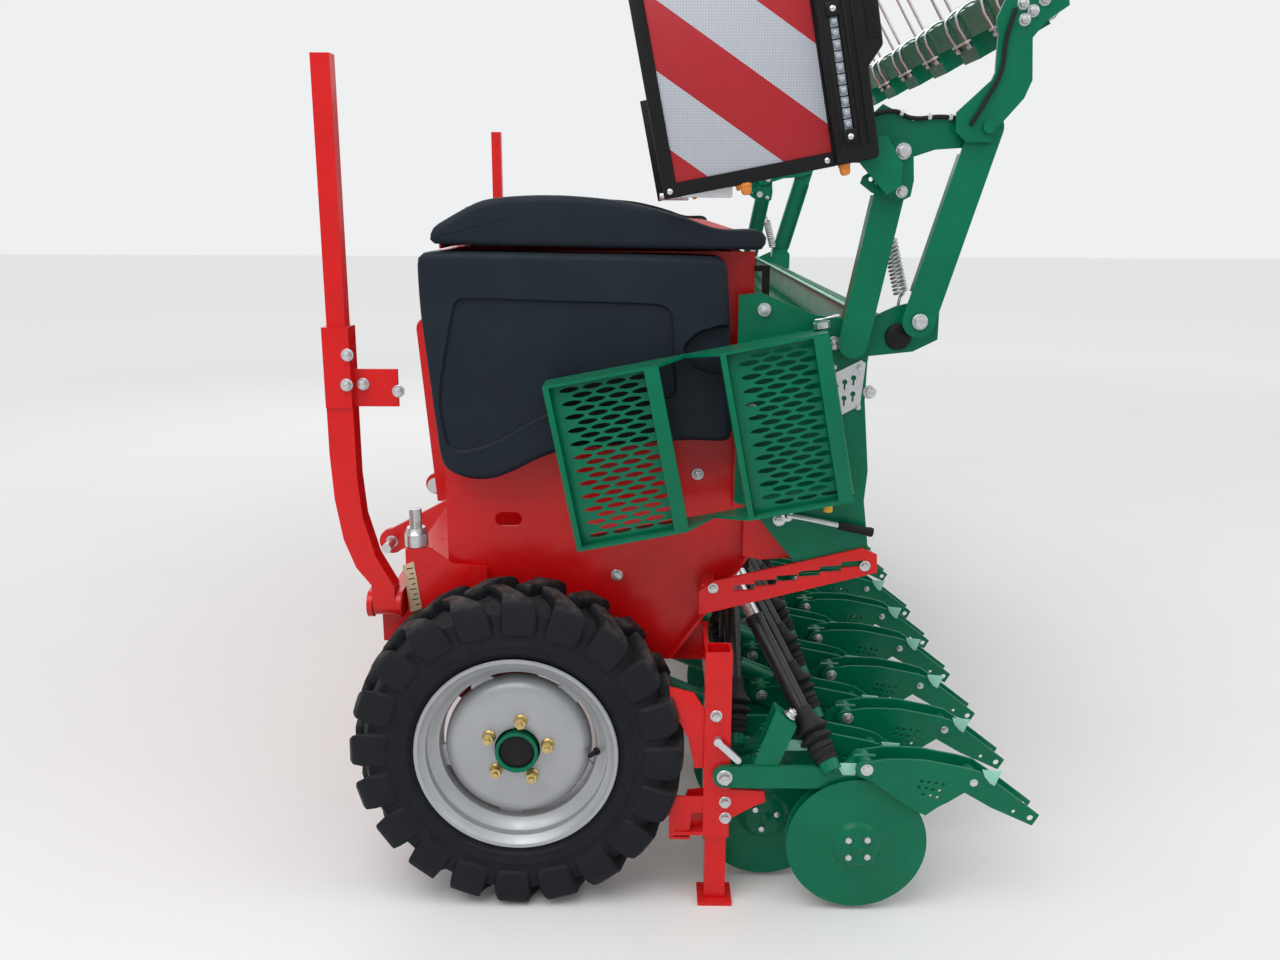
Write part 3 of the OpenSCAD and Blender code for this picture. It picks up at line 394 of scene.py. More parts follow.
STEEL = Finish("spring_steel", (0.52, 0.53, 0.55), (0.35, 0.5), metallic=0.85, dust=0.05)
BOARD = BoardSheeting("board", (0.5, 0.5, 0.5), (0.3, 0.42), dust=0.0)
AMBER = Finish("amber", (0.75, 0.22, 0.02), (0.12, 0.2), tone=0.05, dust=0.0, coat=0.6)
YELLOW = Finish("amber", (0.72, 0.40, 0.02), (0.35, 0.45), dust=0.03, label="_yellow")
CLEAR = Finish(
    "amber", (0.34, 0.37, 0.42), (0.1, 0.2), tone=0.03, dust=0.0, coat=0.8, label="_clear"
)

PLAIN_FINISHES = (RED, GREEN, COVER, BLACK, TUBE, RUBBER, TYRE, RIM, ZINC, STEEL, BOARD, AMBER)
FINISH_BY_SLOT = {finish.slot: finish for finish in PLAIN_FINISHES}


@dataclass
class Studio:
    """Camera at the photograph's place, soft lights and a plain pale floor."""

    eye: Triple = (-289.6, 3670.4, 1523.2)
    focal_px: float = 1131.94
    photo_width: int = 1280
    yaw: float = 0.602
    pitch: float = 13.752
    roll: float = 0.168
    aim: Triple = (0, 0.4, 0.8)
    lamp_side: float = 4.0
    lamps: tuple[tuple[Triple, float], ...] = (
        ((1.5, 3.5, 5.0), 150), ((-4.0, 2.0, 4.0), 70), ((2.0, -4.5, 4.5), 70),
    )
    floor_size: float = 60.0
    floor_tones: tuple[Triple, Triple] = ((0.77, 0.77, 0.76), (0.81, 0.81, 0.80))
    sky: Triple = (0.86, 0.87, 0.88)
    sky_light: float = 0.76

    def camera(self) -> None:
        """Adds the camera."""
        yaw, pitch, roll = (math.radians(a) for a in (self.yaw, self.pitch, self.roll))
        level = math.cos(pitch)
        ahead = Vector((math.sin(yaw) * level, -math.cos(yaw) * level, -math.sin(pitch)))
        right = Vector((-math.cos(yaw), -math.sin(yaw), 0))
        up = right.cross(ahead)
        cos, sin = math.cos(roll), math.sin(roll)
        right, up = cos * right + sin * up, cos * up - sin * right
        data = bpy.data.cameras.new("camera")
        data.lens = self.focal_px / self.photo_width * data.sensor_width
        camera = bpy.data.objects.new("camera", data)
        bpy.context.scene.collection.objects.link(camera)
        turn = Matrix((right, up, -ahead)).transposed().to_4x4()
        camera.matrix_world = Matrix.Translation(at(*self.eye)) @ turn
        bpy.context.scene.camera = camera

    def lamp(self, place: Triple, watts: float) -> None:
        """Adds a soft square lamp that faces the machine.

        Args:
            place: Where it hangs, in metres.
            watts: Its power.
        """
        data = bpy.data.lights.new("lamp", "AREA")
        data.size = self.lamp_side
        data.energy = watts
        lamp = bpy.data.objects.new("lamp", data)
        bpy.context.scene.collection.objects.link(lamp)
        turn = (Vector(self.aim) - Vector(place)).to_track_quat("-Z", "Y")
        lamp.matrix_world = Matrix.Translation(place) @ turn.to_matrix().to_4x4()

    def floor(self) -> None:
        """Adds the floor, which camera rays see a little brighter with the distance."""
        bpy.ops.mesh.primitive_plane_add(size=self.floor_size)
        floor = bpy.context.active_object
        floor.name = "floor"
        web = Web("floor")
        web.feed(web.shader, "Base Color", web.blend(web.noise(1.5, 4.0), *self.floor_tones))
        web.shader.inputs["Roughness"].default_value = 0.9
        web.shader.inputs["Emission Color"].default_value = (1, 1, 1, 1)
        seen = web.add("ShaderNodeLightPath").outputs["Is Camera Ray"]
        away = web.add("ShaderNodeVectorMath", {0: web.place}, operation="LENGTH").outputs["Value"]
        glow = web.math("MULTIPLY", seen, web.span(away, 0.0, 0.24, 2.0, 9.0))
        web.feed(web.shader, "Emission Strength", glow)
        floor.data.materials.append(web.material)

    def world(self) -> None:
        """Adds the world's light, which camera rays see as a pale background."""
        world = bpy.data.worlds.new("studio")
        bpy.context.scene.world = world
        world.use_nodes = True
        tree = world.node_tree
        shown = tree.nodes["Background"]
        shown.inputs["Color"].default_value = (*self.sky, 1)
        path = tree.nodes.new("ShaderNodeLightPath")
        seen = tree.nodes.new("ShaderNodeMath")
        seen.operation = "MAXIMUM"
        strength = tree.nodes.new("ShaderNodeMapRange")
        strength.inputs["To Min"].default_value = self.sky_light
        strength.inputs["To Max"].default_value = 1.0
        tree.links.new(path.outputs["Is Camera Ray"], seen.inputs[0])
        tree.links.new(path.outputs["Is Transmission Ray"], seen.inputs[1])
        tree.links.new(seen.outputs[0], strength.inputs["Value"])
        tree.links.new(strength.outputs["Result"], shown.inputs["Strength"])

    def build(self) -> None:
        """Sets the whole stage."""
        self.camera()
        self.floor()
        self.world()
        for place, watts in self.lamps:
            self.lamp(place, watts)
        bpy.context.scene.view_settings.view_transform = "Standard"


class Bench:
    """Modelling steps, each done with Blender's own operators."""

    merge_distance = 0.00001
    sharp_angle = 0.55

    @staticmethod
    def pick(first: Piece, *others: Piece) -> None:
        """Selects these objects alone and makes the first one active.

        Args:
            first: The object to make active.
            *others: The rest of the selection.
        """
        for piece in list(bpy.context.selected_objects):
            piece.select_set(False)
        for piece in (first, *others):
            piece.select_set(True)
        bpy.context.view_layer.objects.active = first

    @staticmethod
    def edit(piece: Piece, *steps: Callable[[], object]) -> Piece:
        """Runs steps in edit mode, each with the whole mesh selected.

        Args:
            piece: The object to edit.
            *steps: Calls of mesh operators.

        Returns:
            The same object.
        """
        Bench.pick(piece)
        bpy.ops.object.mode_set(mode="EDIT")
        for step in steps:
            bpy.ops.mesh.select_all(action="SELECT")
            step()
        bpy.ops.object.mode_set(mode="OBJECT")
        return piece

    @staticmethod
    def tidy(piece: Piece) -> Piece:
        """Merges doubles and turns every face outwards.

        Args:
            piece: The object.

        Returns:
            The same object.
        """
        return Bench.edit(
            piece,
            lambda: bpy.ops.mesh.remove_doubles(threshold=Bench.merge_distance),
            lambda: bpy.ops.mesh.delete_loose(),
            lambda: bpy.ops.mesh.normals_make_consistent(inside=False),
        )

    @staticmethod
    def modify(piece: Piece, kind: str, **settings: object) -> Piece:
        """Adds a modifier and applies it.

        Args:
            piece: The object to change.
            kind: Type name of the modifier.
            **settings: The modifier's own properties.

        Returns:
            The same object.
        """
        modifier = piece.modifiers.new(kind.title(), kind)
        for key, value in settings.items():
            setattr(modifier, key, value)
        Bench.pick(piece)
        bpy.ops.object.modifier_apply(modifier=modifier.name)
        return piece

    @staticmethod
    def soften(piece: Piece, width: float, segments: int = 2) -> Piece:
        """Rounds the sharp edges by a width in millimetres, or leaves them at a width of 0.

        Args:
            piece: The object to round.
            width: Width of the bevel.
            segments: Steps across the bevel.

        Returns:
            The same object.
        """
        if not width:
            return piece
        settings = {"limit_method": "ANGLE", "angle_limit": Bench.sharp_angle}
        return Bench.modify(piece, "BEVEL", width=width / 1000, segments=segments, **settings)

    @staticmethod
    def outline(points: Sequence[Vector], filled: bool = True) -> Piece:
        """Draws a closed outline.

        Args:
            points: Its places in order.
            filled: Whether a face closes it.

        Returns:
            The outline.
        """
        fill = "NGON" if filled else "NOTHING"
        bpy.ops.mesh.primitive_circle_add(vertices=len(points), radius=1, fill_type=fill)
        piece = bpy.context.active_object
        for vertex, point in zip(piece.data.vertices, points):
            vertex.co = point
        return piece

    @staticmethod
    def slab(points: Sequence[Vector], move: Vector, bevel: float = 0.0) -> Piece:
        """Pulls a flat outline along a way, so that it becomes a slab.

        Args:
            points: The outline's places.
            move: The way that it is pulled, in metres.
            bevel: Width of its rounded edges in millimetres.

        Returns:
            The slab.
        """
        piece = Bench.outline(points)
        pull = {"value": tuple(move)}
        Bench.edit(piece, lambda: bpy.ops.mesh.extrude_region_move(TRANSFORM_OT_translate=pull))
        return Bench.soften(Bench.tidy(piece), bevel)

    @staticmethod
    def plate(points: Sequence[Pair], y0: float, y1: float, bevel: float = 0.0) -> Piece:
        """Gives a plate with an outline of X and Z that lies from y0 to y1."""
        return Bench.slab([at(x, y0, z) for x, z in points], Vector((0, (y1 - y0) / 1000, 0)), bevel)

    @staticmethod
    def block(low: Triple, high: Triple, bevel: float = 0.8) -> Piece:
        """Gives a box with rounded edges.

        Args:
            low: Its lowest corner in millimetres.
            high: Its highest corner.
            bevel: Width of its rounded edges.

        Returns:
            The box.
        """
        a, b = at(*low), at(*high)
        bpy.ops.mesh.primitive_cube_add(size=1, location=(a + b) / 2, scale=b - a)
        return Bench.soften(Bench.settle(bpy.context.active_object), bevel)

    @staticmethod
    def settle(piece: Piece) -> Piece:
        """Puts the object's place, turn and size into its mesh.

        Args:
            piece: The object.

        Returns:
            The same object.
        """
        Bench.pick(piece)
        bpy.ops.object.transform_apply(location=True, rotation=True, scale=True)
        return piece

    @staticmethod
    def rod(start: Vector, end: Vector, radius: float, sides: int = 20, bevel: float = 0.0) -> Piece:
        """Gives a round or six-sided bar.

        Args:
            start: Middle of one end.
            end: Middle of the other end.
            radius: Its radius in millimetres.
            sides: Faces around it.
            bevel: Width of its rounded edges in millimetres.

        Returns:
            The bar.
        """
        way = end - start
        bpy.ops.mesh.primitive_cylinder_add(
            vertices=sides, radius=radius / 1000, depth=way.length,
            location=(start + end) / 2, rotation=way.to_track_quat("Z", "Y").to_euler(),
        )
        return Bench.soften(Bench.settle(bpy.context.active_object), bevel)

    @staticmethod
    def loft(rings: Sequence[Sequence[Vector]]) -> Piece:
        """Joins rings with the same number of places into one closed shape.

        Args:
            rings: The rings in order, each going round the same way.

        Returns:
            The shape, with a face over each end.
        """
        count = len(rings[0])
        bpy.ops.mesh.primitive_circle_add(vertices=count, radius=1, fill_type="NGON")
        piece = bpy.context.active_object
        Bench.pick(piece)
        bpy.ops.object.mode_set(mode="EDIT")
        bpy.ops.mesh.select_all(action="SELECT")
        for _ in rings[1:]:
            bpy.ops.mesh.extrude_region_move(TRANSFORM_OT_translate={"value": (0, 0, 1)})
        bpy.ops.object.mode_set(mode="OBJECT")
        first = math.atan2(piece.data.vertices[0].co.y, piece.data.vertices[0].co.x)
        for vertex in piece.data.vertices:
            turn = math.atan2(vertex.co.y, vertex.co.x) - first
            vertex.co = rings[round(vertex.co.z)][round(turn / math.tau * count) % count]
        return Bench.tidy(piece)

    @staticmethod
    def lathe(profile: Sequence[Pair], centre: Vector, axis: Vector = OUT, steps: int = 48) -> Piece:
        """Turns a closed profile around an axis.

        Args:
            profile: Pairs of radius and height in millimetres.
            centre: Where the height is 0 on the axis.
            axis: Direction of the height.
            steps: Faces around it.

        Returns:
            The turned shape.
        """
        axis = axis.normalized()
        out = axis.orthogonal().normalized()
        ring = [centre + (out * r + axis * h) / 1000 for r, h in profile]
        turn = {"steps": steps, "angle": math.tau, "center": centre, "axis": axis}
        piece = Bench.outline(ring, filled=False)
        return Bench.tidy(Bench.edit(piece, lambda: bpy.ops.mesh.spin(**turn)))

    @staticmethod
    def wire(points: Sequence[Vector], radius: float, around: int = 2, along: int = 6) -> Piece:
        """Gives a round wire along a smooth line.

        Args:
            points: The places that it passes through.
            radius: Its radius in millimetres.
            around: Fineness of its round section.
            along: Steps between two places.

        Returns:
            The wire.
        """
        bpy.ops.curve.primitive_bezier_curve_add()
        piece = bpy.context.active_object
        spline = piece.data.splines[0]
        spline.bezier_points.add(len(points) - 2)
        for knot, point in zip(spline.bezier_points, points):
            knot.co = point
            knot.handle_left_type = knot.handle_right_type = "AUTO"
        piece.data.resolution_u = along
        piece.data.bevel_depth = radius / 1000
        piece.data.bevel_resolution = around
        piece.data.use_fill_caps = True
        Bench.pick(piece)
        bpy.ops.object.convert(target="MESH")
        return Bench.settle(bpy.context.active_object)

    @staticmethod
    def join(*pieces: Piece) -> Piece:
        """Joins objects into the first one.

        Args:
            *pieces: The objects.

        Returns:
            The first object, with the meshes of all.
        """
        Bench.pick(*pieces)
        if len(pieces) > 1:
            bpy.ops.object.join()
        return pieces[0]

    @staticmethod
    def copies(model: Piece, places: Iterable[Matrix]) -> Piece:
        """Copies a model to each place, joins the copies and removes the model.

        Args:
            model: The object modelled once.
            places: One matrix for each copy.

        Returns:
            All the copies as one object.
        """
        made = []
        for place in places:
            copy = model.copy()
            copy.data = model.data.copy()
            copy.data.transform(place)
            if place.determinant() < 0:
                copy.data.flip_normals()
            bpy.context.scene.collection.objects.link(copy)
            made.append(copy)
        bpy.data.objects.remove(model)
        return Bench.join(*made)

    @staticmethod
    def both(*pieces: Piece) -> Piece:
        """Joins objects and adds the same shape on the machine's right side."""
        return Bench.copies(Bench.join(*pieces), (Matrix.Identity(4), FLIP))

    @staticmethod
    def cut(piece: Piece, tool: Piece) -> Piece:
        """Cuts a tool's shape out of a piece and removes the tool.

        Args:
            piece: The object to cut.
            tool: The shape to take away.

        Returns:
            The cut object.
        """
        Bench.modify(piece, "BOOLEAN", object=tool, operation="DIFFERENCE", solver="EXACT")
        bpy.data.objects.remove(tool)
        return piece

    @staticmethod
    def drill(piece: Piece, holes: Iterable[Triple], y0: float, y1: float) -> Piece:
        """Drills holes along Y, each given as X, Z and radius in millimetres."""
        tools = [Bench.rod(at(x, y0, z), at(x, y1, z), r, 16) for x, z, r in holes]
        return Bench.cut(piece, Bench.join(*tools))


def deliver(
    piece: Piece, name: str, body: str, finish: Finish, *stands_for: str, smooth: float = 32.0
) -> None:
    """Names, shades and dresses a piece and lets it ride on its body.

    Args:
        piece: The finished shape.
        name: Its name.
        body: The body that it moves with.
        finish: Its surface.
        *stands_for: The solids that it replaces.
        smooth: Largest angle in degrees that is shaded as a curve.
    """
    piece.name = piece.data.name = name
    piece.data.materials.clear()
    piece.data.materials.append(finish.material())
    Bench.pick(piece)
    bpy.ops.object.shade_smooth_by_angle(angle=math.radians(smooth))
    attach(piece, body)
    if stands_for:
        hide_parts(*stands_for)
    LOG.info("%s: %d faces on %s", name, len(piece.data.polygons), body)


@dataclass
class Screws:
    """All the hex screws with washers that one body carries."""

    name: str
    body: str
    model_width: float = 16.0
    roll: float = 0.4
    washer: Outline = ((4, -0.5), (12.6, -0.5), (12.6, 1.4), (11.8, 2.2), (4, 2.2))

    def __post_init__(self) -> None:
        """Starts with no screws."""
        self.places: list[Matrix] = []

    def add(
        self, x: float, y: float, z: float, size: float, way: Triple = (0, 1, 0),
        both: bool = True, low: float = 1.0,
    ) -> None:
        """Sets one screw on a surface.

        Args:
            x: Place in X.
            y: Place of the surface in Y.
            z: Place in Z.
            size: Width across flats.
            way: Direction that the head points in.
            both: Whether the right side has the same one.
            low: Share of its height that a low head has.
        """
        flat = Matrix.Diagonal((1, 1, low, 1))
        place = facing(at(x, y, z), Vector(way), size / self.model_width, self.roll) @ flat
        self.places += mirrored([place]) if both else [place]

    def build(self) -> None:
        """Models one screw and sets a copy at each place."""
        washer = Bench.lathe(self.washer, Vector(), UP, 20)
        head = Bench.rod(UP * 0.002, UP * 0.0115, 9.2, 6, 1.0)
        stud = Bench.rod(UP * 0.011, UP * 0.0145, 4.6, 10, 0.8)
        model = Bench.join(washer, head, stud)
        deliver(Bench.copies(model, self.places), self.name, self.body, ZINC)


@dataclass
class Wheel:
    """Tyre with staggered lugs, stepped rim, pressed dish and hub of one side."""

    side: Side
    lugs: int = 20
    dish_face: float = 44.0
    tabs: int = 5
    nuts: int = 5
    nut_circle: float = 68.0
    nut_size: float = 1.15
    first_nut: float = 98.0
    valve_turn: float = 184.0
    valve_foot: Pair = (176, 22)
    valve_end: Pair = (158, 52)
    lug_foot: float = 1.32
    wall: Outline = (
        (206, 55), (221, 62), (224, 70), (232, 73), (237, 79), (241, 79), (256, 84), (259, 82.5),
        (278, 82), (300, 79), (322, 71), (334, 52), (338, 22),
    )
    lug_rings: tuple[tuple[float, ...], ...] = (
        (-6.6, 364.6, -5, 326, -5, 4.8), (-3.2, 364.6, 22, 326, 22, 5.2), (-0.6, 364.0, 48, 322, 46, 6.2),
        (1.2, 361.0, 68, 312, 60, 8.8), (2.2, 353.0, 81, 308, 68, 11.2), (2.6, 336.0, 87.6, 300, 72, 12.2),
        (2.6, 308.0, 89.4, 290, 75, 12.6), (2.6, 284.0, 88.0, 280, 75, 12.6),
        (2.6, 274.0, 80.0, 272, 74, 12.6),
    )
    rim_seat: Outline = (
        (222, 74), (217, 70), (214, 66), (203, 60), (203, 40), (196, 36), (191, 30), (179, 24), (175, 14),
    )
    rim_skin: Outline = (
        (220, 77), (213, 76), (209, 70), (198, 62), (197, 44), (190, 39), (185, 33), (174, 27), (170, 14),
    )
    tab_corners: Outline = ((0.86, 154), (1.28, 154), (1.2, 174), (0.94, 174))
    hub_profile: Outline = (
        (24, -96), (39, -96), (39, -16), (86, -14), (86, -4), (46, 0), (43, 30), (43, 50), (47, 62),
        (44, 63.5), (39, 62), (38.4, 50), (38.4, 40), (24, 40),
    )
    cap_profile: Outline = ((0, 40), (38.2, 40), (38.2, 56), (35, 58), (26, 59), (24, 57.5), (0, 57.5))

    def point(self, turn: float, r: float, y: float) -> Vector:
        """Gives a place around the axle from a turn in radians, a radius and a place across it."""
        return at(r * math.cos(turn), WHEEL_Y + y, WHEEL_R + r * math.sin(turn))

    @property
    def centre(self) -> Vector:
        """Gives the middle of the wheel."""
        return at(0, WHEEL_Y, WHEEL_R)

    def around(self, count: int, across: Sequence[float] = (1,)) -> list[Matrix]:
        """Gives evenly spaced turns around the axle.

        Args:
            count: Number of turns.
            across: Signs of Y that the turns take one after the other.

        Returns:
            One matrix for each turn.
        """
        places = []
        for k in range(count):
            turn = Matrix.Rotation(k * math.tau / count, 4, "Y")
            sign = Matrix.Scale(across[k % len(across)], 4, OUT)
            places.append(about(self.centre, turn @ sign))
        return places

    def lug(self) -> Piece:
        """Models one lug, from the middle of the tread over the shoulder and down the wall.

        Returns:
            The lug at the top of the wheel. Its rings hold a turn in degrees, the radius and place
            across of the outer edge, those of the foot, and a width in degrees.
        """
        rings = []
        for turn, r, y, r_in, y_in, wide in self.lug_rings:
            mid, half = math.radians(90 + turn), math.radians(wide / 2)
            rings.append([
                self.point(mid - half * self.lug_foot, r_in, y_in), self.point(mid - half, r, y),
                self.point(mid + half, r, y), self.point(mid + half * self.lug_foot, r_in, y_in),
            ])
        return Bench.soften(Bench.loft(rings), 3.0, 2)

    def tyre(self) -> Piece:
        """Builds the tyre, its lugs on the left and right half in turn.

        Returns:
            The tyre.
        """
        profile = [*self.wall, *((r, -y) for r, y in reversed(self.wall))]
        carcass = Bench.lathe(profile, self.centre, steps=120)
        return Bench.join(carcass, Bench.copies(self.lug(), self.around(2 * self.lugs, (1, -1))))

    def rim(self) -> Piece:
        """Builds the rim, the pressed dish and the tabs that join them.

        Returns:
            The rim.
        """
        seat, skin, face = self.rim_seat, self.rim_skin, self.dish_face
        profile = [*seat, *((r, -y) for r, y in reversed(seat))]
        profile += [*((r, -y) for r, y in skin), *reversed(skin)]
        dish = [
            (161, 4), (160.5, 16), (158, 26), (152, 34.5), (143, 40.5), (131, face), (50, face),
            (50, face - 5), (130, face - 5), (140, 36.5), (148, 31), (153, 24), (155.5, 16), (156, 4),
        ]
        turned = [Bench.lathe(shape, self.centre, steps=120) for shape in (profile, dish)]
        tab = Bench.slab([self.point(a, r, 14) for a, r in self.tab_corners], OUT * -0.008, 1.5)
        return Bench.join(*turned, Bench.copies(tab, self.around(self.tabs)))

    def hub(self) -> Piece:
        """Builds the green hub with its flared ring."""
        return Bench.lathe(self.hub_profile, self.centre, steps=64)

    def cap(self) -> Piece:
        """Builds the black cap in the hub."""
        return Bench.lathe(self.cap_profile, self.centre)

    def nut_set(self) -> Piece:
        """Builds the wheel nuts on their studs.

        Returns:
            All the nuts.
        """
        cone = Bench.lathe([(5, 0), (13, 0), (13, 2), (11, 4.5), (5, 4.5)], Vector(), UP, 20)
        nut = Bench.rod(UP * 0.004, UP * 0.018, 11.2, 6, 1.2)
        stud = Bench.rod(Vector(), UP * 0.027, 6.0, 14, 1.2)
        places = []
        for k in range(self.nuts):
            turn = math.radians(self.first_nut + 360 / self.nuts * k)
            spot = self.point(turn, self.nut_circle, self.dish_face)
            places.append(facing(spot, OUT, self.nut_size, turn))
        return Bench.copies(Bench.join(cone, nut, stud), places)

    def valve(self) -> Piece:
        """Builds the rubber valve in the rim's well.

        Returns:
            The valve.
        """
        turn = math.radians(self.valve_turn)
        start, end = self.point(turn, *self.valve_foot), self.point(turn, *self.valve_end)
        stem = Bench.rod(start, end, 5.5, 16, 1.5)
        return Bench.join(stem, Bench.rod(start, start.lerp(end, 0.3), 8.5, 16, 2.0))

    def build(self) -> None:
        """Builds the wheel and hands it over to its body."""
        tag = self.side.tag
        made = (
            (self.tyre, "tyre_fine", TYRE, ["tyre"]), (self.rim, "rim_fine", RIM, ["rim"]),
            (self.hub, "hub_fine", GREEN, ["hub"]), (self.cap, "hub_cap", BLACK, []),
            (self.nut_set, "wheel_nuts", GOLD, []), (self.valve, "valve", RUBBER, []),
        )
        for make, name, finish, stands_for in made:
            piece = make()
            if self.side is Side.RIGHT:
                piece = Bench.copies(piece, (FLIP,))
            nodes = [f"{node}_{tag}" for node in stands_for]
            deliver(piece, f"{name}_{tag}", f"{tag}_wheel", finish, *nodes)


def smooth_outline(points: Sequence[Pair], count: int, lead: float = 0.3, parts: int = 12) -> list[Pair]:
    """Gives evenly spaced places on a smooth closed line.

    Args:
        points: The points that the line passes through.
        count: Number of places wanted.
        lead: Share of a stretch over which its ends lead it.
        parts: Steps in which a stretch is measured.

    Returns:
        The places.
    """
    knots = [Vector(p) for p in points]
    fine: list[Vector] = []
    for k, start in enumerate(knots):
        before, end, after = (knots[(k + step) % len(knots)] for step in (-1, 1, 2))
        reach = (end - start).length
        lead_in = (end - before).normalized() * reach * lead
        lead_out = (after - start).normalized() * reach * lead
        for i in range(parts):
            t = i / parts
            a, b, c, d = (1 - t) ** 3, 3 * t * (1 - t) ** 2, 3 * t * t * (1 - t), t**3
            fine.append(start * a + (start + lead_in) * b + (end - lead_out) * c + end * d)
    lengths = [0.0]
    for k in range(len(fine)):
        lengths.append(lengths[-1] + (fine[(k + 1) % len(fine)] - fine[k]).length)
    found = []
    k = 0
    for i in range(count):
        goal = lengths[-1] * i / count
        while lengths[k + 1] < goal:
            k += 1
        share = (goal - lengths[k]) / max(1e-9, lengths[k + 1] - lengths[k])
        found.append(tuple(fine[k].lerp(fine[(k + 1) % len(fine)], share)))
    return found


def inset(points: Sequence[Pair], distance: float) -> list[Pair]:
    """Moves a closed outline inwards.

    Args:
        points: The outline's places in order.
        distance: How far they move, in millimetres, or outwards if it is below 0.

    Returns:
        The moved places.
    """
    area = sum(points[k - 1][0] * p[1] - p[0] * points[k - 1][1] for k, p in enumerate(points))
    sign = 1 if area > 0 else -1
    moved = []
    for k, p in enumerate(points):
        way = (Vector(points[(k + 1) % len(points)]) - Vector(points[k - 1])).normalized()
        moved.append((p[0] - way.y * distance * sign, p[1] + way.x * distance * sign))
    return moved


def cushion(points: Sequence[Pair], y0: float, y1: float, round_r: float, steps: int = 5) -> Piece:
    """Gives a plate whose outer edge is rounded like a moulding's.

    Args:
        points: Its smooth outline in X and Z.
        y0: Where its back lies.
        y1: Where its face lies.
        round_r: Radius of the rounded edge.
        steps: Rings in the rounding.

    Returns:
        The moulding.
    """
    rings = [[at(x, y0, z) for x, z in points]]
    for k in range(steps + 1):
        turn = math.pi / 2 * k / steps
        y = y1 - round_r * (1 - math.sin(turn)) * math.copysign(1, y1 - y0)
        rings.append([at(x, y, z) for x, z in inset(points, round_r * (1 - math.cos(turn)))])
    return Bench.loft(rings)


@dataclass
class Cladding:
    """Moulded covers on the hopper's ends and the caps that close the lid's ends."""

    inner: float = 1250.0
    face: float = 1345.0
    cover: Outline = (
        (190, 1398), (186, 1417), (168, 1426), (-100, 1424), (-418, 1418), (-436, 1408), (-442, 1390),
        (-450, 1250), (-457, 1060), (-452, 1040), (-435, 1036), (-371, 1038), (-235, 1028), (-102, 1014),
        (-45, 994), (2, 970), (48, 953), (95, 952), (140, 969), (155, 990), (164, 1060), (176, 1180),
        (187, 1298),
    )
    panel: Outline = (
        (114, 1318), (106, 1329), (-100, 1325), (-300, 1319), (-322, 1310), (-328, 1292), (-331, 1210),
        (-336, 1145), (-326, 1130), (-210, 1119), (-93, 1103), (-40, 1080), (30, 1040), (92, 1018),
        (122, 1017), (138, 1030), (150, 1130),
    )
    panel_wall: Outline = ((9, 6), (1, 5.5), (-2, 3), (-7, 0))
    pocket: Outline = (
        (-356, 1229), (-374, 1255), (-398, 1269), (-460, 1274), (-470, 1190), (-430, 1183), (-380, 1196),
    )
    pocket_wall: Outline = ((9, 5), (0, 4), (-5, 1), (-22, -4))
    lip: Outline = (
        (-330, 1126), (-210, 1113), (-93, 1097), (-40, 1074), (30, 1034), (92, 1012), (122, 1011),
    )
    lid: Outline = (
        (162, 1450), (157, 1470), (140, 1484), (61, 1525), (12, 1534), (-55, 1538), (-123, 1537),
        (-210, 1529), (-297, 1511), (-360, 1493), (-409, 1476), (-440, 1471), (-500, 1471), (-516, 1462),
        (-519, 1448), (-510, 1433), (-480, 1432), (-269, 1434), (142, 1441), (157, 1443),
    )

    def sink(self, piece: Piece, points: Sequence[Pair], wall: Sequence[Pair]) -> None:
        """Cuts a recess into the cover's face.

        Args:
            piece: The cover.
            points: Smooth outline of the recess.
            wall: Pairs of height over the face and distance that the outline lies outside.
        """
        rings = []
        for lift, grow in wall:
            rings.append([at(x, self.face + lift, z) for x, z in inset(points, -grow)])
        Bench.cut(piece, Bench.loft(rings))

    def side_cover(self) -> Piece:
        """Builds the cover with its sunk panel and the pocket at its rear edge.

        Returns:
            The cover with the raised lip along the panel's lower edge.
        """
        piece = cushion(smooth_outline(self.cover, 128), self.inner, self.face, 16)
        self.sink(piece, smooth_outline(self.panel, 96), self.panel_wall)
        self.sink(piece, smooth_outline(self.pocket, 48), self.pocket_wall)
        return Bench.join(piece, Bench.wire([at(x, self.face - 2.2, z) for x, z in self.lip], 3.4))

    def lid_cap(self) -> Piece:
        """Builds the cap on the lid's end."""
        return cushion(smooth_outline(self.lid, 112), self.inner - 1, self.face, 15)

    def build(self) -> None:
        """Builds the plastic at both ends."""
        covers = Bench.both(self.side_cover())
        deliver(covers, "side_covers_fine", "frame", COVER, "side_covers", smooth=26)
        deliver(Bench.both(self.lid_cap()), "lid_caps_fine", "lid", COVER, "lid_caps")


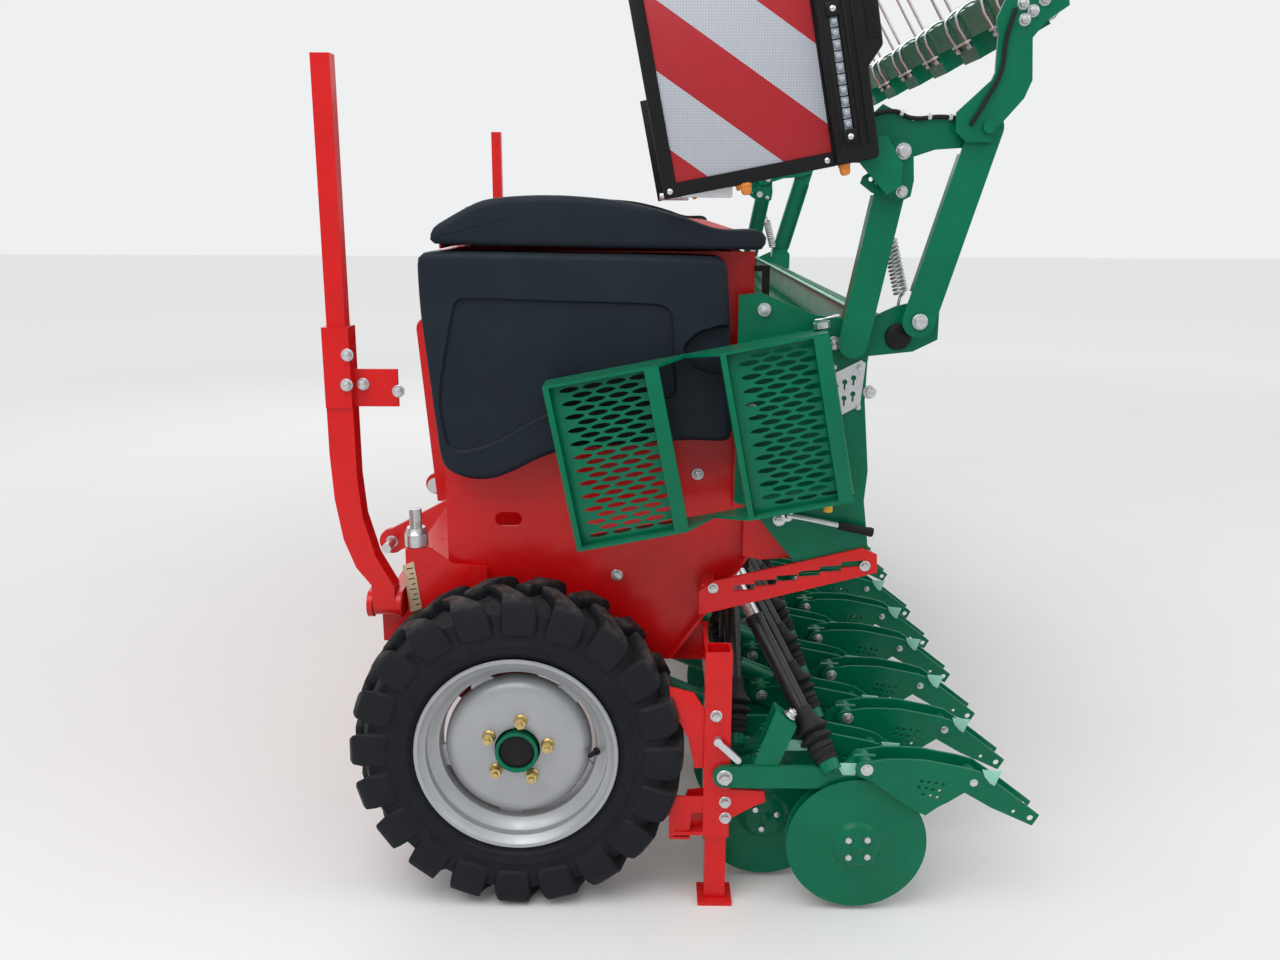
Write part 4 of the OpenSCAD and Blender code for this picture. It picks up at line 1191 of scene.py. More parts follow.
@dataclass
class WarningBoards:
    """Striped boards with a lamp case along the rear edge and amber lamps below."""

    mount: tuple[float, ...] = (-511, 1392, 1568, 11)
    front: float = 203.0
    rear: float = -215.0
    sheet_rear: float = -129.0
    rim: float = 26.0
    top: float = 423.0
    thick: float = 22.0
    ribs: Triple = (-204, -189, -143)
    cells: int = 10
    cell_foot: float = 61.0
    cell_row: float = 206.0
    cell_dome: Outline = ((0, -1), (7, -1), (7, 1), (6, 4), (3.4, 6.2), (0, 7))
    lamps: Pair = (-149, 44)
    lamp: Outline = ((0, -1), (12, -1), (12, 5), (10.6, 6), (10.2, 16), (7, 21), (0, 22.5))
    screw: Outline = ((0, -1), (5.5, -1), (5.5, 1.5), (3.4, 3.2), (0, 3.8))

    def put(self, *pieces: Piece) -> Piece:
        """Joins pieces made square to the axes and moves them onto both tilted boards.

        Args:
            *pieces: The pieces of one board.

        Returns:
            Those of both boards.
        """
        board = Bench.join(*pieces)
        board.data.transform(tilted(*self.mount))
        return Bench.both(board)

    def frame(self) -> Piece:
        """Builds the dark tray behind the sheeting and the lamp case.

        Returns:
            The trays.
        """
        edge, thick, rim, top = self.sheet_rear, self.thick, self.rim, self.top
        tray = Bench.block((edge - 6, 0, 0), (self.front, thick, top), 4)
        Bench.cut(tray, Bench.block((edge, thick - 5, rim), (self.front - rim, thick + 9, top - rim), 3))
        outline = [
            (edge - 4, 0), (-209, 0), (self.rear, 6), (-217, 167), (-249, 200), (-253, top),
            (edge - 4, top),
        ]
        case = Bench.plate(outline, 0, thick + 12, 5)
        Bench.cut(case, Bench.block((-174, thick + 4, 60), (-155, thick + 20, 268), 2))
        raised = []
        for x in self.ribs:
            raised.append(Bench.block((x, thick + 8, 30), (x + 7, thick + 15.5, top - 12), 2))
        raised.append(Bench.block((-244, thick + 8, 214), (-222, thick + 14, top - 14), 2))
        for z in (36, 266):
            raised.append(Bench.block((-178, thick + 6, z), (-151, thick + 16, z + 26), 3))
        return self.put(tray, case, *raised)

    def sheet(self) -> Piece:
        """Builds the sheeting's panel.

        Returns:
            The panels.
        """
        low = (self.sheet_rear + 1, self.thick - 6, self.rim + 1)
        high = (self.front - self.rim - 1, self.thick - 3.6, self.top - self.rim - 1)
        return self.put(Bench.block(low, high, 0.8))

    def clear_cells(self) -> Piece:
        """Builds the clear lamp cells.

        Returns:
            The cells.
        """
        pitch = self.cell_row / self.cells
        foot, face = self.cell_foot, self.thick + 8
        base = Bench.block((-172.5, self.thick + 1, foot + 0.5), (-156.5, face, foot + pitch - 1), 2)
        dome = Bench.lathe(self.cell_dome, at(-164.5, face, foot + pitch / 2), steps=20)
        shifts = [Matrix.Translation((0, 0, k * pitch / 1000)) for k in range(self.cells)]
        return self.put(Bench.copies(Bench.join(base, dome), shifts))

    def amber_lamps(self) -> Piece:
        """Builds the lamps below the lower edge."""
        return self.put(*(Bench.lathe(self.lamp, at(x, 11, 1), -UP, 28) for x in self.lamps))

    def screws(self) -> Piece:
        """Builds the board's round screw heads.

        Returns:
            The heads.
        """
        heads = []
        for x, z, lift in ((-164.5, 48, 16), (-164.5, 279, 16), (-117, 13, 0), (self.front - 13, 13, 0)):
            heads.append(Bench.lathe(self.screw, at(x, self.thick + lift, z), steps=14))
        return self.put(*heads)

    def build(self) -> None:
        """Builds both boards."""
        deliver(self.frame(), "board_trays", "frame", BLACK, "board_frames")
        deliver(self.sheet(), "board_sheeting", "frame", BOARD, "board_panels")
        deliver(self.clear_cells(), "board_clear_lamps", "frame", CLEAR)
        deliver(self.amber_lamps(), "board_amber_lamps", "frame", AMBER, "lamps")
        deliver(self.screws(), "board_screws", "frame", ZINC)
        rail = Bench.block((-444, 1386, 1534), (-317, 1400, 1564), 3)
        deliver(Bench.both(rail), "board_rails", "frame", ZINC)


@dataclass
class SideStep:
    """Folded step at the left end, with treads of punched sheet."""

    mount: tuple[float, ...] = (-668, 0, 1105, 11)
    face: float = 1440.0
    half: float = 169.0
    hole: Pair = (42.0, 11.0)
    hole_sides: int = 12
    hole_shape: float = 1.3
    pitch: Pair = (48.0, 14.0)
    panels: Outline = ((6.0, 210.0), (346.0, 569.0))
    clip: Run = (
        (2, 1390, 196), (-10, 1396, 199), (-26, 1397, 199), (-34, 1390, 199), (-26, 1383, 199),
        (-8, 1386, 197), (14, 1380, 197),
    )

    def put(self, *pieces: Piece) -> Piece:
        """Joins pieces made square to the axes and moves them onto the turned step.

        Args:
            *pieces: The pieces.

        Returns:
            All of them as one object.
        """
        step = Bench.join(*pieces)
        step.data.transform(tilted(*self.mount))
        return step

    def tread(self, x0: float, x1: float) -> Piece:
        """Punches one tread's rows of lens-shaped holes.

        Args:
            x0: Its rear edge.
            x1: Its front edge.

        Returns:
            The punched sheet.
        """
        sheet = Bench.block((x0, self.face - 24, -self.half), (x1, self.face - 20.5, self.half), 0.4)
        long, high = (size / 2 for size in self.hole)
        along, up = self.pitch
        lens = []
        for k in range(self.hole_sides):
            turn = k * math.tau / self.hole_sides
            rise = math.copysign(abs(math.sin(turn)) ** self.hole_shape, math.sin(turn))
            lens.append((long * math.cos(turn), high * rise))
        tool = Bench.plate(lens, self.face - 30, self.face - 12)
        shifts = []
        for row in range(int(2 * (self.half - 12) / up) + 1):
            z = -self.half + 17 + row * up
            x = x0 + 14 + long + (row % 2) * along / 2
            while x < x1 - 4 - long:
                shifts.append(Matrix.Translation((x / 1000, 0, z / 1000)))
                x += along
        return Bench.cut(sheet, Bench.copies(tool, shifts))

    def rims(self) -> Piece:
        """Builds the folded strips around the treads.

        Returns:
            The strips.
        """
        made = []
        for x0, x1 in self.panels:
            for rear, front in ((x0 - 6, x0 + 24), (x1 - 6, x1 + 6)):
                low, high = (rear, self.face - 3, -self.half - 2), (front, self.face + 0.4, self.half + 2)
                made.append(Bench.block(low, high, 1.5))
        return self.put(*made)

    def pin(self) -> Piece:
        """Builds the hinge rod's collar and the clip through its end.

        Returns:
            Both.
        """
        clip = Bench.wire([at(*p) for p in self.clip], 1.8)
        collar = Bench.lathe([(9, 178), (17, 178), (17, 190), (9, 190)], at(2, 1376, 0), UP, 28)
        return self.put(clip, collar)

    def build(self) -> None:
        """Builds the step's fine pieces."""
        treads = self.put(*(self.tread(*ends) for ends in self.panels))
        deliver(treads, "step_treads", "step", GREEN, "step_mesh")
        deliver(self.rims(), "step_rims", "step", GREEN)
        deliver(self.pin(), "step_pin_clip", "frame", ZINC)


@dataclass
class Coulters:
    """Seed tubes with their gaiters, and the plates behind the discs that would hold press wheels."""

    count: int = 12
    pitch: float = 125.0
    outlet_pitch: float = 102.04
    outer: float = 1437.5
    disc_z: float = 165.0
    rear_x: float = -741.0
    front_x: float = -551.0
    tube_foot: Pair = (69, 355)
    outlet: Pair = (-480, 684)
    inner: float = 26.0
    thick: float = 6.0
    pivot: Pair = (-11, 186)
    spacer: Pair = (-240, 158)
    bead_share: float = 0.76
    gaiter: Outline = (
        (19.3, 0), (25, 0), (26, 8), (24, 10), (26, 13), (28, 22), (25.5, 25), (29, 29), (29, 38),
        (25, 42), (29, 45), (37.5, 49), (38, 51.5), (33, 57), (26, 63), (31, 66), (39, 71), (39.5, 73.5),
        (34, 80), (28, 90), (24.5, 99), (22.8, 112), (22.8, 124), (19.3, 124),
    )
    bead: Outline = ((19.2, -16), (20.6, -15), (20.6, -2), (22, 0), (22, 4), (19.2, 4))
    plate: Outline = (
        (14, 186), (11, 196), (2, 203), (-54, 211), (-95, 211), (-136, 209), (-217, 193), (-252, 183),
        (-300, 149), (-386, 82), (-372, 57), (-279, 100), (-222, 134), (-190, 112), (-167, 99), (-142, 79),
        (-104, 98), (-60, 130), (-25, 157), (6, 170),
    )
    cluster: Outline = (
        (-129, 160), (-144, 158), (-160, 156), (-176, 153), (-124, 146), (-139, 144), (-154, 141),
        (-169, 138), (-134, 130), (-150, 126), (-165, 122),
    )
    cluster_r: float = 3.7
    low_heads: Pair = (0.42, 0.8)
    arm_screws: tuple[tuple, ...] = (
        (-451, 1444, 317, 22), (-440, 1318.6, 322, 22), (-590, 1416, 450, 19, (-0.62, 0, 0.78)),
    )
    rear_holes: Run = ((-330, 90, 4.5), (-367, 75, 7))
    lobe: Outline = ((-255, 190), (-297, 186), (-290, 168), (-284, 152), (-274, 158), (-262, 172))

    def x(self, j: int) -> float:
        """Gives the place of a disc's axle along the machine."""
        return self.front_x if j % 2 else self.rear_x

    def y(self, j: int) -> float:
        """Gives the place of a coulter across the machine."""
        return self.outer - self.pitch * j

    def foot(self, j: int) -> Vector:
        """Gives the lower end of a coulter's seed tube."""
        return at(self.x(j) + self.tube_foot[0], self.y(j), self.tube_foot[1])

    def tube(self, j: int) -> Vector:
        """Gives a coulter's seed tube from its lower end to its upper one."""
        y = (self.count - 0.5 - j) * self.outlet_pitch
        return at(self.outlet[0], y, self.outlet[1]) - self.foot(j)

    def spots(self, row: Row | None = None) -> list[Matrix]:
        """Gives the places of the left half's disc axles, of one row or of both."""
        numbers = range(self.count) if row is None else range(row.value, self.count, 2)
        return [Matrix.Translation(at(self.x(j), self.y(j), self.disc_z)) for j in numbers]

    def spread(self, model: Piece, places: Sequence[Matrix]) -> Piece:
        """Copies a model made at the wheel axle to these places and to the right half's."""
        model.data.transform(HOME)
        return Bench.copies(model, mirrored(places))

    def gaiters(self) -> Piece:
        """Builds the rubber gaiters with their two skirts.

        Returns:
            The gaiters.
        """
        model = Bench.lathe(self.gaiter, Vector(), UP, 28)
        places = [facing(self.foot(j), self.tube(j).normalized()) for j in range(self.count)]
        return Bench.copies(model, mirrored(places))

    def collars(self) -> Piece:
        """Builds the tubes' beaded upper ends.

        Returns:
            The beads.
        """
        bead = Bench.lathe(self.bead, Vector(), UP, 24)
        places = []
        for j in range(self.count):
            way, length = self.tube(j).normalized(), self.tube(j).length
            places.append(facing(self.foot(j) + way * length * self.bead_share, way))
        return Bench.copies(bead, mirrored(places))

    def plates(self, row: Row) -> Piece:
        """Builds a row's pairs of drilled plates with their spacers.

        Args:
            row: The row.

        Returns:
            All the plates of the row.
        """
        pair = []
        holes = [*((x, z, self.cluster_r) for x, z in self.cluster), *self.rear_holes]
        for low in (self.inner, -self.inner - self.thick):
            sheet = Bench.plate(self.plate, low, low + self.thick)
            pair.append(Bench.soften(Bench.drill(sheet, holes, low - 2, low + self.thick + 2), 1.0, 1))
        edge, (x, z) = self.inner + 1, self.spacer
        pair.append(Bench.rod(at(x, -edge, z), at(x, edge, z), 15))
        x, z = self.pivot
        for sign in (-1, 1):
            pair.append(Bench.rod(at(x, sign * 6, z), at(x, sign * self.inner, z), 19))
        return self.spread(Bench.join(*pair), self.spots(row))

    def tabs(self) -> Piece:
        """Builds the bent tabs between the plates, in the paler green of a painted highlight.

        Returns:
            The tabs.
        """
        inner, face = self.inner, self.inner + self.thick
        low = Bench.plate([(-86, 128), (-131, 125), (-124, 102), (-100, 99)], inner - 3, inner - 0.4, 0.8)
        foot = Bench.block((-124, 1 - inner, 99), (-100, inner - 1, 102))
        high = Bench.plate(self.lobe, face + 0.3, face + 3, 0.8)
        return self.spread(Bench.join(low, foot, high), self.spots())

    def screws(self) -> None:
        """Builds the screws of the plates, the disc axles and the short arms."""
        screws = Screws("coulter_screws", "frame")
        face = self.inner + self.thick
        for j in range(self.count):
            x, y, z = self.x(j), self.y(j), self.disc_z
            low = self.low_heads[0] if j == 0 else self.low_heads[1]
            screws.add(x + self.pivot[0], y + face, z + self.pivot[1], 17, low=low)
            screws.add(x + self.spacer[0], y + face, z + self.spacer[1], 11, low=low)
            screws.add(x + self.pivot[0], y - face, z + self.pivot[1], 19, (0, -1, 0))
        for spot in self.arm_screws:
            screws.add(*spot)
        screws.build()

    def arm_treads(self) -> Piece:
        """Builds the rough plates on the outermost arms, in the paler green of a painted highlight.

        Returns:
            The plates.
        """
        tread = Bench.plate([(-570, 358), (-648, 358), (-640, 381), (-582, 386)], 1395, 1398, 0.6)
        pad = Bench.plate([(-690, 354), (-735, 354), (-732, 326), (-705, 326)], 1443.8, 1447, 0.8)
        return Bench.both(tread, pad)

    def build(self) -> None:
        """Builds everything around the coulters."""
        deliver(self.gaiters(), "gaiters", "frame", RUBBER, "bellows", smooth=40)
        deliver(self.collars(), "seed_tube_beads", "frame", TUBE)
        for row in Row:
            name = f"carriers_{row.tag}"
            deliver(self.plates(row), f"{name}_fine", "frame", GREEN, name)
        deliver(self.tabs(), "carrier_tabs", "frame", PAINTED_HIGHLIGHT_GREEN)
        deliver(self.arm_treads(), "arm_treads", "frame", PAINTED_HIGHLIGHT_GREEN)
        self.screws()


@dataclass
class DiscPairs:
    """Pairs of thin coulter discs with domed bearing caps and their screws."""

    coulters: Coulters
    axle: float = 12.0
    bolt_circle: float = 29.0
    bolt_head: float = 7.8
    first_bolt: float = 0.75
    profile: Outline = (
        (0, 37.5), (6, 37), (10, 35), (13, 33), (17, 32.4), (38, 32), (45, 30), (50, 26), (54, 21),
        (58, 18), (64, 17), (144, 17), (153, 15.2), (153, 14.4), (146, 13), (0, 13),
    )

    def discs(self, row: Row) -> Piece:
        """Builds one row of discs with their caps.

        Args:
            row: The row.

        Returns:
            Its discs.
        """
        disc = Bench.lathe(self.profile, at(0, 0, 0), steps=72)
        axle = Bench.rod(at(0, 0, 0), at(0, 14, 0), self.axle, 24)
        return self.spread(Bench.join(disc, axle), row)

    def screws(self, row: Row, bolts: int) -> Piece:
        """Builds the screws around the caps of one row.

        Args:
            row: The row.
            bolts: Number of screws in a cap.

        Returns:
            The screws.
        """
        heads = []
        for k in range(bolts):
            turn = k * math.tau / bolts + self.first_bolt
            x, z = self.bolt_circle * math.cos(turn), self.bolt_circle * math.sin(turn)
            heads.append(Bench.rod(at(x, 31, z), at(x, 38, z), self.bolt_head, 6, 1.4))
        return self.spread(Bench.join(*heads), row)

    def spread(self, model: Piece, row: Row) -> Piece:
        """Sets a model made at the axle on both faces of every pair in a row."""
        places = self.coulters.spots(row)
        return self.coulters.spread(model, [*places, *(place @ FLIP for place in places)])

    def build(self) -> None:
        """Builds both rows."""
        for row, bolts in ((Row.REAR, 4), (Row.FRONT, 3)):
            name, body = f"discs_{row.tag}", f"{row.tag}_discs"
            deliver(self.discs(row), f"{name}_fine", body, GREEN, name)
            deliver(self.screws(row, bolts), f"disc_screws_{row.tag}", body, ZINC)


@dataclass
class HarrowFittings:
    """Springs, leads, clamps and coiled tines of the folded following harrow."""

    beam: tuple[float, ...] = (-1010, 0, 1925, 30)
    half: float = 30.0
    holders: int = 9
    spacing: float = 300.0
    spring_y: float = 1294.0
    lead_r: float = 4.2
    lead_y: float = 1343.0
    coil_steps: int = 8
    tine_coil: float = 14.0
    tine_steps: int = 19
    tine_rise: float = 2.6
    plate_lead: Run = (
        (-560, 1403, 1600), (-640, 1375, 1672), (-722, 1343, 1694), (-763, 1343, 1699), (-793, 1343, 1687),
        (-853, 1343, 1689), (-884, 1343, 1687),
    )
    arm_lead: Run = (
        (-905, 1366.5, 1672), (-930, 1366.5, 1716), (-956, 1366.5, 1770), (-962, 1366.5, 1830),
        (-975, 1366.5, 1884),
    )
    lead_clips: Run = ((-775, 1695, 0.4), (-830, 1688.6, 0), (-871, 1688, 0.1))
    pins: tuple[tuple[float, ...], ...] = (
        (-831, 1291, 1318, 1364, 12), (-779, 1623, 1326, 1362, 12), (-780, 1546, 1344, 1362, 8),
    )

    def hang(self, model: Piece) -> Piece:
        """Turns a model made at the wheel axle onto the beam and copies it to every holder.

        Args:
            model: The model.

        Returns:
            All the copies.
        """
        model.data.transform(tilted(*self.beam))
        steps = (i - (self.holders - 1) / 2 for i in range(self.holders))
        return Bench.copies(model, [Matrix.Translation((0, self.spacing * i / 1000, 0)) for i in steps])

    def coil(
        self, start: Vector, end: Vector, radius: float, wire: float, turns: int,
        hooks: tuple[Sequence[Vector], Sequence[Vector]] = ((), ()),
    ) -> Piece:
        """Winds a coil spring.

        Args:
            start: Upper end of its axis.
            end: Lower end of its axis.
            radius: Radius of the coil's middle line in millimetres.
            wire: Radius of the wire in millimetres.
            turns: Number of windings.
            hooks: Places of the hooks before and after the coil.

        Returns:
            The spring.
        """
        way = (end - start).normalized()
        out = way.orthogonal().normalized()
        side = way.cross(out)
        count = turns * self.coil_steps
        points = []
        for k in range(count + 1):
            turn = k * math.tau / self.coil_steps
            ring = out * math.cos(turn) + side * math.sin(turn)
            points.append(start.lerp(end, k / count) + ring * radius / 1000)
        return Bench.wire([*hooks[0], *points, *hooks[1]], wire, around=1, along=2)

    def springs(self) -> Piece:
        """Builds the harrow's pull springs and the springs of the outermost arms.

        Returns:
            The springs.
        """
        y = self.spring_y
        top = [at(-776, y + 22, 1464), at(-776, y + 3, 1464), at(-775.5, y, 1456)]
        foot = [at(-803, y, 1336), at(-800, y, 1318), at(-797, y + 2, 1301), at(-797, y + 14, 1301)]
        pull = self.coil(at(-775, y, 1450), at(-804, y, 1342), 12.6, 3.3, 14, (top, foot))
        press = self.coil(at(-525, 1412.5, 348), at(-553, 1412.5, 408), 6.6, 1.9, 7)
        return Bench.both(pull, press)

    def lead(self, run: Sequence[Triple]) -> Piece:
        """Builds one length of the thin black lead."""
        return Bench.both(Bench.wire([at(*p) for p in run], self.lead_r))

    def pivots(self) -> Piece:
        """Builds the pivot pins with their washers and hexagon heads.

        Returns:
            The pins.
        """
        made = []
        for x, z, y0, y1, size in self.pins:
            low, high = size - 2, size + 4
            washer = [(low, -3), (high, -3), (high, 0), (size + 3, 1), (low, 1)]
            made.append(Bench.rod(at(x, y0, z), at(x, y1, z), size, 28, 1))
            made.append(Bench.lathe(washer, at(x, y1, z), steps=28))
            made.append(Bench.rod(at(x, y1 + 1, z), at(x, y1 + 9, z), size + 0.5, 6, 1.4))
        return Bench.both(*made)

    def clips(self) -> Piece:
        """Builds the clips over the lead.

        Returns:
            The clips.
        """
        profile = [(self.lead_r, -4), (6.4, -3.4), (6.4, 3.4), (self.lead_r, 4)]
        made = []
        for x, z, slope in self.lead_clips:
            made.append(Bench.lathe(profile, at(x, self.lead_y, z), Vector((1, 0, slope)), 14))
        return Bench.both(*made)

    def clamps(self) -> Piece:
        """Builds the clamp bolts around the beam at each holder.

        Returns:
            The clamps.
        """
        h = self.half + 4
        bow = [(-h, -h - 8), (-h, h - 9), (-h + 9, h), (h - 9, h), (h, h - 9), (h, -h - 8)]
        made = []
        for y in (-48, 48):
            made.append(Bench.wire([at(x, y, z) for x, z in bow], 4.0, along=3))
            for x in (-h, h):
                made.append(Bench.rod(at(x, y, -h - 8), at(x, y, -h - 16), 8, 6, 0.8))
        made.append(Bench.block((-h - 9, -58, -h - 2), (h + 9, 58, -h + 3), 1))
        return self.hang(Bench.join(*made))

    def tines(self) -> Piece:
        """Builds the wire tines with their coils, two at each holder.

        Returns:
            The tines.
        """
        low = -self.half - 25
        points = [at(-8, 22, low), at(-20, 38, low - 14)]
        for k in range(self.tine_steps):
            turn = k * math.tau / self.coil_steps
            x, z = self.tine_coil * math.cos(turn) - 38, self.tine_coil * math.sin(turn) + low - 2
            points.append(at(x, 40 + self.tine_rise * turn, z))
        points += [at(-52, 54, low + 10), at(-49, 52, low + 60)]
        points += [at(-46, 50, 150), at(-46, 50, 300), at(-50, 50, 380), at(-57, 50, 420)]
        return self.hang(Bench.both(Bench.wire(points, 4.4, around=1, along=3)))

    def build(self) -> None:
        """Builds the harrow's fittings."""
        deliver(self.springs(), "springs_wound", "frame", STEEL, "springs", smooth=60)
        deliver(self.lead(self.plate_lead), "harrow_cables", "frame", RUBBER, smooth=60)
        deliver(self.lead(self.arm_lead), "harrow_arm_cables", "harrow", RUBBER, smooth=60)
        deliver(self.pivots(), "harrow_pins", "frame", ZINC, "harrow_pivots")
        deliver(self.clips(), "harrow_cable_clips", "frame", ZINC)
        deliver(self.clamps(), "beam_clamps", "harrow", ZINC)
        deliver(self.tines(), "tines_wound", "harrow", STEEL, "harrow_tines", smooth=60)


@dataclass
class Hardware:
    """Screws, caps and small fittings on the frame and the folded parts."""

    frame_spots: tuple[tuple[float, float, Outline], ...] = (
        (1250, 17, ((-213, 711), (-391, 945), (-450, 1045), (100, 700), (30, 620), (-120, 640))),
        (1318, 18, ((-666, 1242), (-565, 861), (-500, 1100), (-745, 1140), (-520, 1310))),
        (1326, 15, ((-425, 707), (-753, 760))),
        (1318, 16, ((-715, 1262), (-722, 1330), (-745, 1560))),
        (1431, 17, ((-431, 455), (-454, 251), (-455, 213))),
        (1321, 8, ((-668, 1192), (-722, 1192), (-668, 1108), (-722, 1108))),
    )
    harrow_spots: Outline = (
        (-995, 1864), (-1010, 1880), (-1030, 1900), (-990, 1893), (-1045, 1920), (-1015, 1915),
    )
    marker_spots: Run = ((347, 1320, 1213), (352, 1320, 1150), (324, 1294, 1148), (250, 1294, 1133))
    upper_plate: Outline = (
        (-330, 520), (-383, 506), (-408, 466), (-410, 330), (-386, 330), (-372, 400), (-352, 440),
        (-334, 470),
    )
    lower_plate: Outline = (
        (-332, 262), (-408, 262), (-408, 280), (-493, 280), (-540, 276), (-543, 250), (-475, 222),
        (-382, 222), (-378, 180), (-332, 160),
    )
    stand_face: Pair = (1422, 1428)
    tube_cap: Outline = ((0, 12), (20, 11), (26.5, 7), (27.5, 2), (27.5, 0), (0, 0))
    lever_run: Run = ((-581, 1324, 873), (-620, 1330, 868), (-681, 1334, 856), (-700, 1334, 852))
    grip: Outline = (
        (0, -1), (8.5, 0), (9.5, 3), (8.6, 10), (9.6, 18), (8.6, 26), (9.6, 34), (8.6, 42), (9.6, 50),
        (8.8, 60), (10.5, 70), (9.5, 76), (0, 78),
    )

    def screws(self) -> None:
        """Sets the screws of the frame, the harrow and the folded marker arms."""
        frame_screws = Screws("frame_screws", "frame")
        for y, size, spots in self.frame_spots:
            for x, z in spots:
                frame_screws.add(x, y, z, size)
        frame_screws.build()
        harrow_screws = Screws("harrow_screws", "harrow")
        for x, z in self.harrow_spots:
            harrow_screws.add(x, 1362, z, 15)
        harrow_screws.build()
        for side in Side:
            screws = Screws(f"marker_screws_{side.tag}", f"{side.tag}_marker")
            for x, y, z in self.marker_spots:
                screws.add(x, y * side.value, z, 17, (0, side.value, 0), both=False)
            screws.build()

    def stand_plates(self) -> Piece:
        """Builds the folded plates that hold the parking stands.

        Returns:
            The plates.
        """
        shapes = (self.upper_plate, self.lower_plate)
        made = [Bench.plate(shape, *self.stand_face, 1.2) for shape in shapes]
        return Bench.both(*made, Bench.block((-378, 1400, 157), (-332, 1428, 163), 1))

    def caps(self) -> Piece:
        """Builds the domed caps on the cross tube."""
        return Bench.both(Bench.lathe(self.tube_cap, at(CROSS_TUBE[0], 1318, CROSS_TUBE[1]), steps=40))

    def lever(self) -> Piece:
        """Builds the bent bar of the platform's lever.

        Returns:
            The bar with its eye.
        """
        run = [at(*p) for p in self.lever_run]
        eye = Bench.lathe([(6, -5), (13, -5), (13, 5), (6, 5)], run[0], steps=24)
        return Bench.join(Bench.wire(run, 6), eye)

    def lever_grip(self) -> Piece:
        """Builds the lever's black grip."""
        start = at(-690, 1334, 854)
        return Bench.lathe(self.grip, start, at(-765, 1334, 838) - start, 28)

    def build(self) -> None:
        """Builds the hardware."""
        self.screws()
        deliver(self.caps(), "cross_tube_caps", "frame", BLACK, "tube_caps")
        deliver(self.stand_plates(), "stand_plates", "frame", RED)
        deliver(self.lever(), "lever", "frame", ZINC)
        deliver(self.lever_grip(), "lever_grip", "frame", BLACK)


@dataclass
class Platform:
    """Loading platform behind the hopper, with a pressed anti-slip deck."""

    rear: float = -735.0
    front: float = -508.0
    deck: float = 1205.0
    thick: float = 25.0
    end: float = 1310.0
    strip: float = 65.5
    sheet: float = 4.0
    holes: int = 4
    hole_r: float = 14.0
    hole_shares: Pair = (0.73, 0.27)
    hole_rim: Outline = ((14, -3), (18, 0), (15.2, 3.2), (13.6, 3.2), (12.8, 0), (12.8, -4), (14, -4))
    ribs: tuple[float, ...] = (-1306, -870, -435, 0, 435, 870, 1306)
    upstand_height: float = 95.0

    def punched_strip(self) -> Piece:
        """Punches one strip of the deck, its holes with raised rims.

        Returns:
            The strip.
        """
        top = self.deck + self.thick
        strip = Bench.block((self.rear, 0, top - self.sheet), (self.front, self.strip, top), 0)
        step = (self.front - self.rear) / self.holes
        spots = []
        for k in range(self.holes):
            spots.append((self.rear + step * (k + 0.5), self.strip * self.hole_shares[k % 2]))
        tools = [Bench.rod(at(x, y, top - 9), at(x, y, top + 6), self.hole_r, 16) for x, y in spots]
        Bench.cut(strip, Bench.join(*tools))
        return Bench.join(strip, *(Bench.lathe(self.hole_rim, at(x, y, top), UP, 16) for x, y in spots))

    def whole_deck(self) -> Piece:
        """Builds the whole deck with its folded edges.

        Returns:
            The deck.
        """
        low, high = self.deck, self.deck + self.thick - self.sheet
        count = round(2 * self.end / self.strip)
        rows = ((-self.end + k * self.strip) / 1000 for k in range(count))
        made = [Bench.copies(self.punched_strip(), [Matrix.Translation((0, y, 0)) for y in rows])]
        for x in (self.rear, self.front - 5):
            made.append(Bench.block((x, -self.end, low), (x + 5, self.end, high), 1))
        for y in self.ribs:
            made.append(Bench.block((self.rear + 5, y - 3, low), (self.front - 5, y + 3, high), 1))
        return Bench.join(*made)

    def tube(self) -> Piece:
        """Builds the round cross tube below the masts."""
        x, z = CROSS_TUBE
        return Bench.rod(at(x, -self.end, z), at(x, self.end, z), 25, 40, 1.5)

    def upstand(self) -> Piece:
        """Builds the kick plate at the deck's rear edge, in the paler green of a painted highlight.

        Returns:
            The plate with its lip.
        """
        outside, top = self.rear - 6, self.deck + self.upstand_height
        back = Bench.block((outside, -self.end, self.deck), (self.rear - 1, self.end, top), 1.2)
        lip = Bench.block((outside, -self.end, top - self.sheet), (self.rear + 10, self.end, top), 1.2)
        return Bench.join(back, lip)

    def build(self) -> None:
        """Builds the platform."""
        deliver(Bench.join(self.whole_deck(), self.tube()), "platform_fine", "frame", GREEN, "platform")
        deliver(self.upstand(), "platform_upstand", "frame", PAINTED_HIGHLIGHT_GREEN)


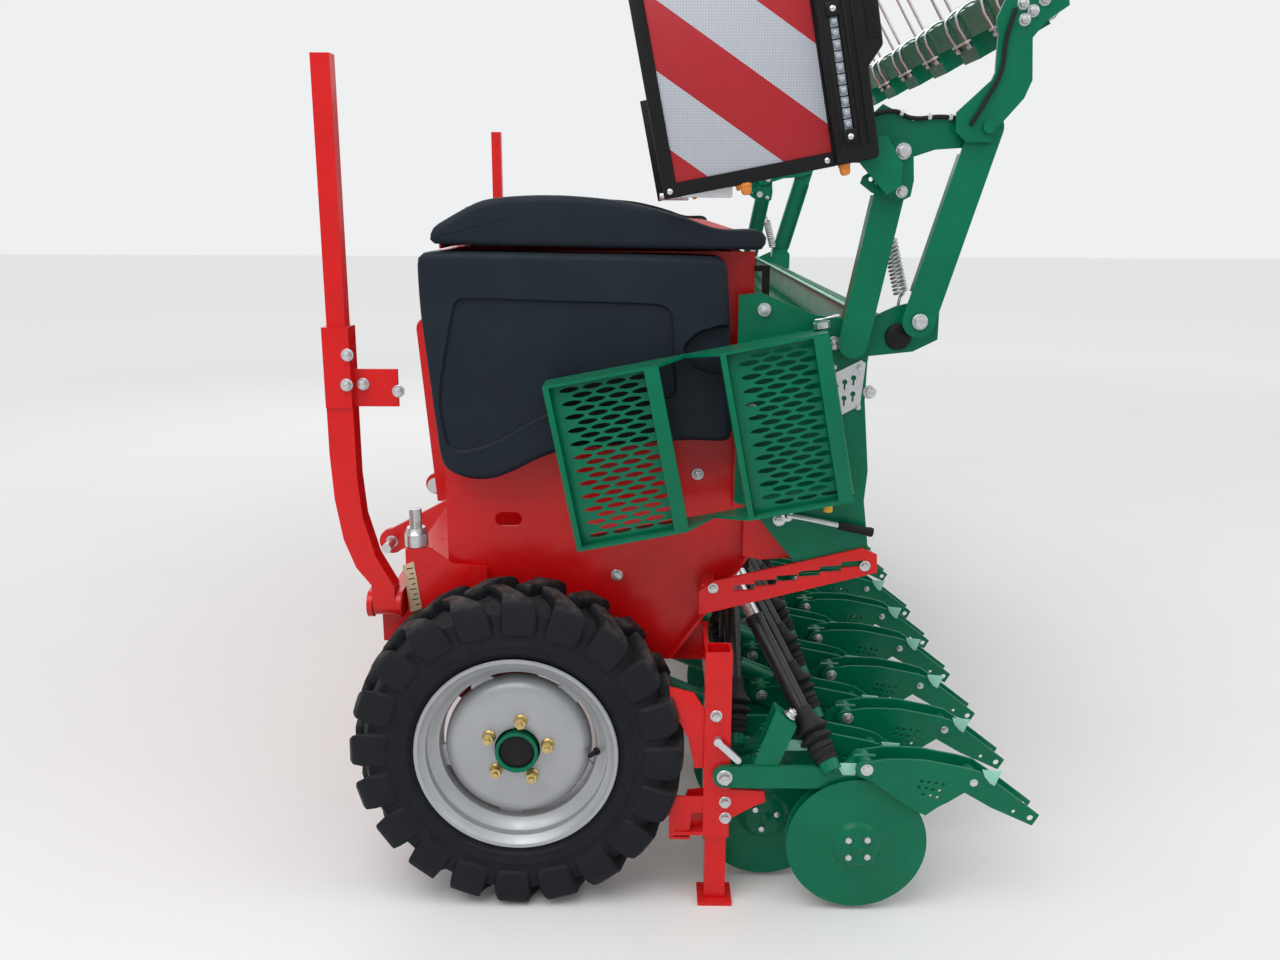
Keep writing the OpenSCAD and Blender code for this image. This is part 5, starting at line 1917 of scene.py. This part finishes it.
@dataclass
class Wheelgear:
    """Spindle heads and scales of the wheels' depth adjustment, and the step's yellow bush."""

    spindle: Triple = (236, 1244, 775)
    collar: Outline = ((0, 0), (24, 0), (26, 2), (26, 30), (24, 32), (20, 44), (0, 44))
    scale: Outline = ((224, 637), (250, 628), (264, 738), (238, 748))
    strokes: int = 8
    bush: Outline = ((4, 900), (9, 900), (9.6, 903), (9.6, 922), (8, 926), (4, 926))

    def heads(self) -> Piece:
        """Builds the spindles' collars and hexagon heads.

        Returns:
            The heads.
        """
        x, y, foot = self.spindle
        head = Bench.rod(at(x, y, foot + 40), at(x, y, foot + 86), 15, 6, 2)
        return Bench.both(Bench.lathe(self.collar, at(x, y, foot), UP, 40), head)

    def marks(self) -> Piece:
        """Builds the printed strokes on the scale plates, every second one longer.

        Returns:
            The strokes.
        """
        made = []
        for k in range(self.strokes):
            x, z = 229 + 1.6 * k, 648 + 12 * k
            end = x + (14 if k % 2 else 9)
            stroke = [(x, z), (end, z - 3), (end + 0.3, z - 0.6), (x + 0.3, z + 2.4)]
            made.append(Bench.plate(stroke, 1276.2, 1277))
        return Bench.both(*made)

    def build(self) -> None:
        """Builds the adjustment's fine pieces and the bush."""
        deliver(Bench.both(Bench.plate(self.scale, 1274.3, 1276.5, 0.7)), "depth_scales", "frame", BEIGE)
        deliver(self.marks(), "depth_scale_marks", "frame", RUBBER)
        deliver(Bench.lathe(self.bush, at(-657, 1392, 0), UP, 28), "step_bush", "frame", YELLOW)
        deliver(self.heads(), "spindle_heads", "frame", ZINC, "wheel_spindles")


def dress_solids() -> None:
    """Gives every CAD solid the finish of its slot."""
    for part in frame["record"]["subparts"]:
        node = frame["nodes"][part["node"]]
        node.data.materials.clear()
        node.data.materials.append(FINISH_BY_SLOT[part["material_slot"]].material())


def main() -> None:
    """Builds the stage and every part of the machine in order."""
    logging.basicConfig(level=logging.INFO, format="%(name)s: %(message)s")
    Studio().build()
    dress_solids()
    coulters = Coulters()
    parts = (
        *(Wheel(side) for side in Side), Cladding(), WarningBoards(), SideStep(), coulters,
        DiscPairs(coulters), HarrowFittings(), Hardware(), Platform(), Wheelgear(),
    )
    for part in parts:
        part.build()


if __name__ == "__main__":
    main()
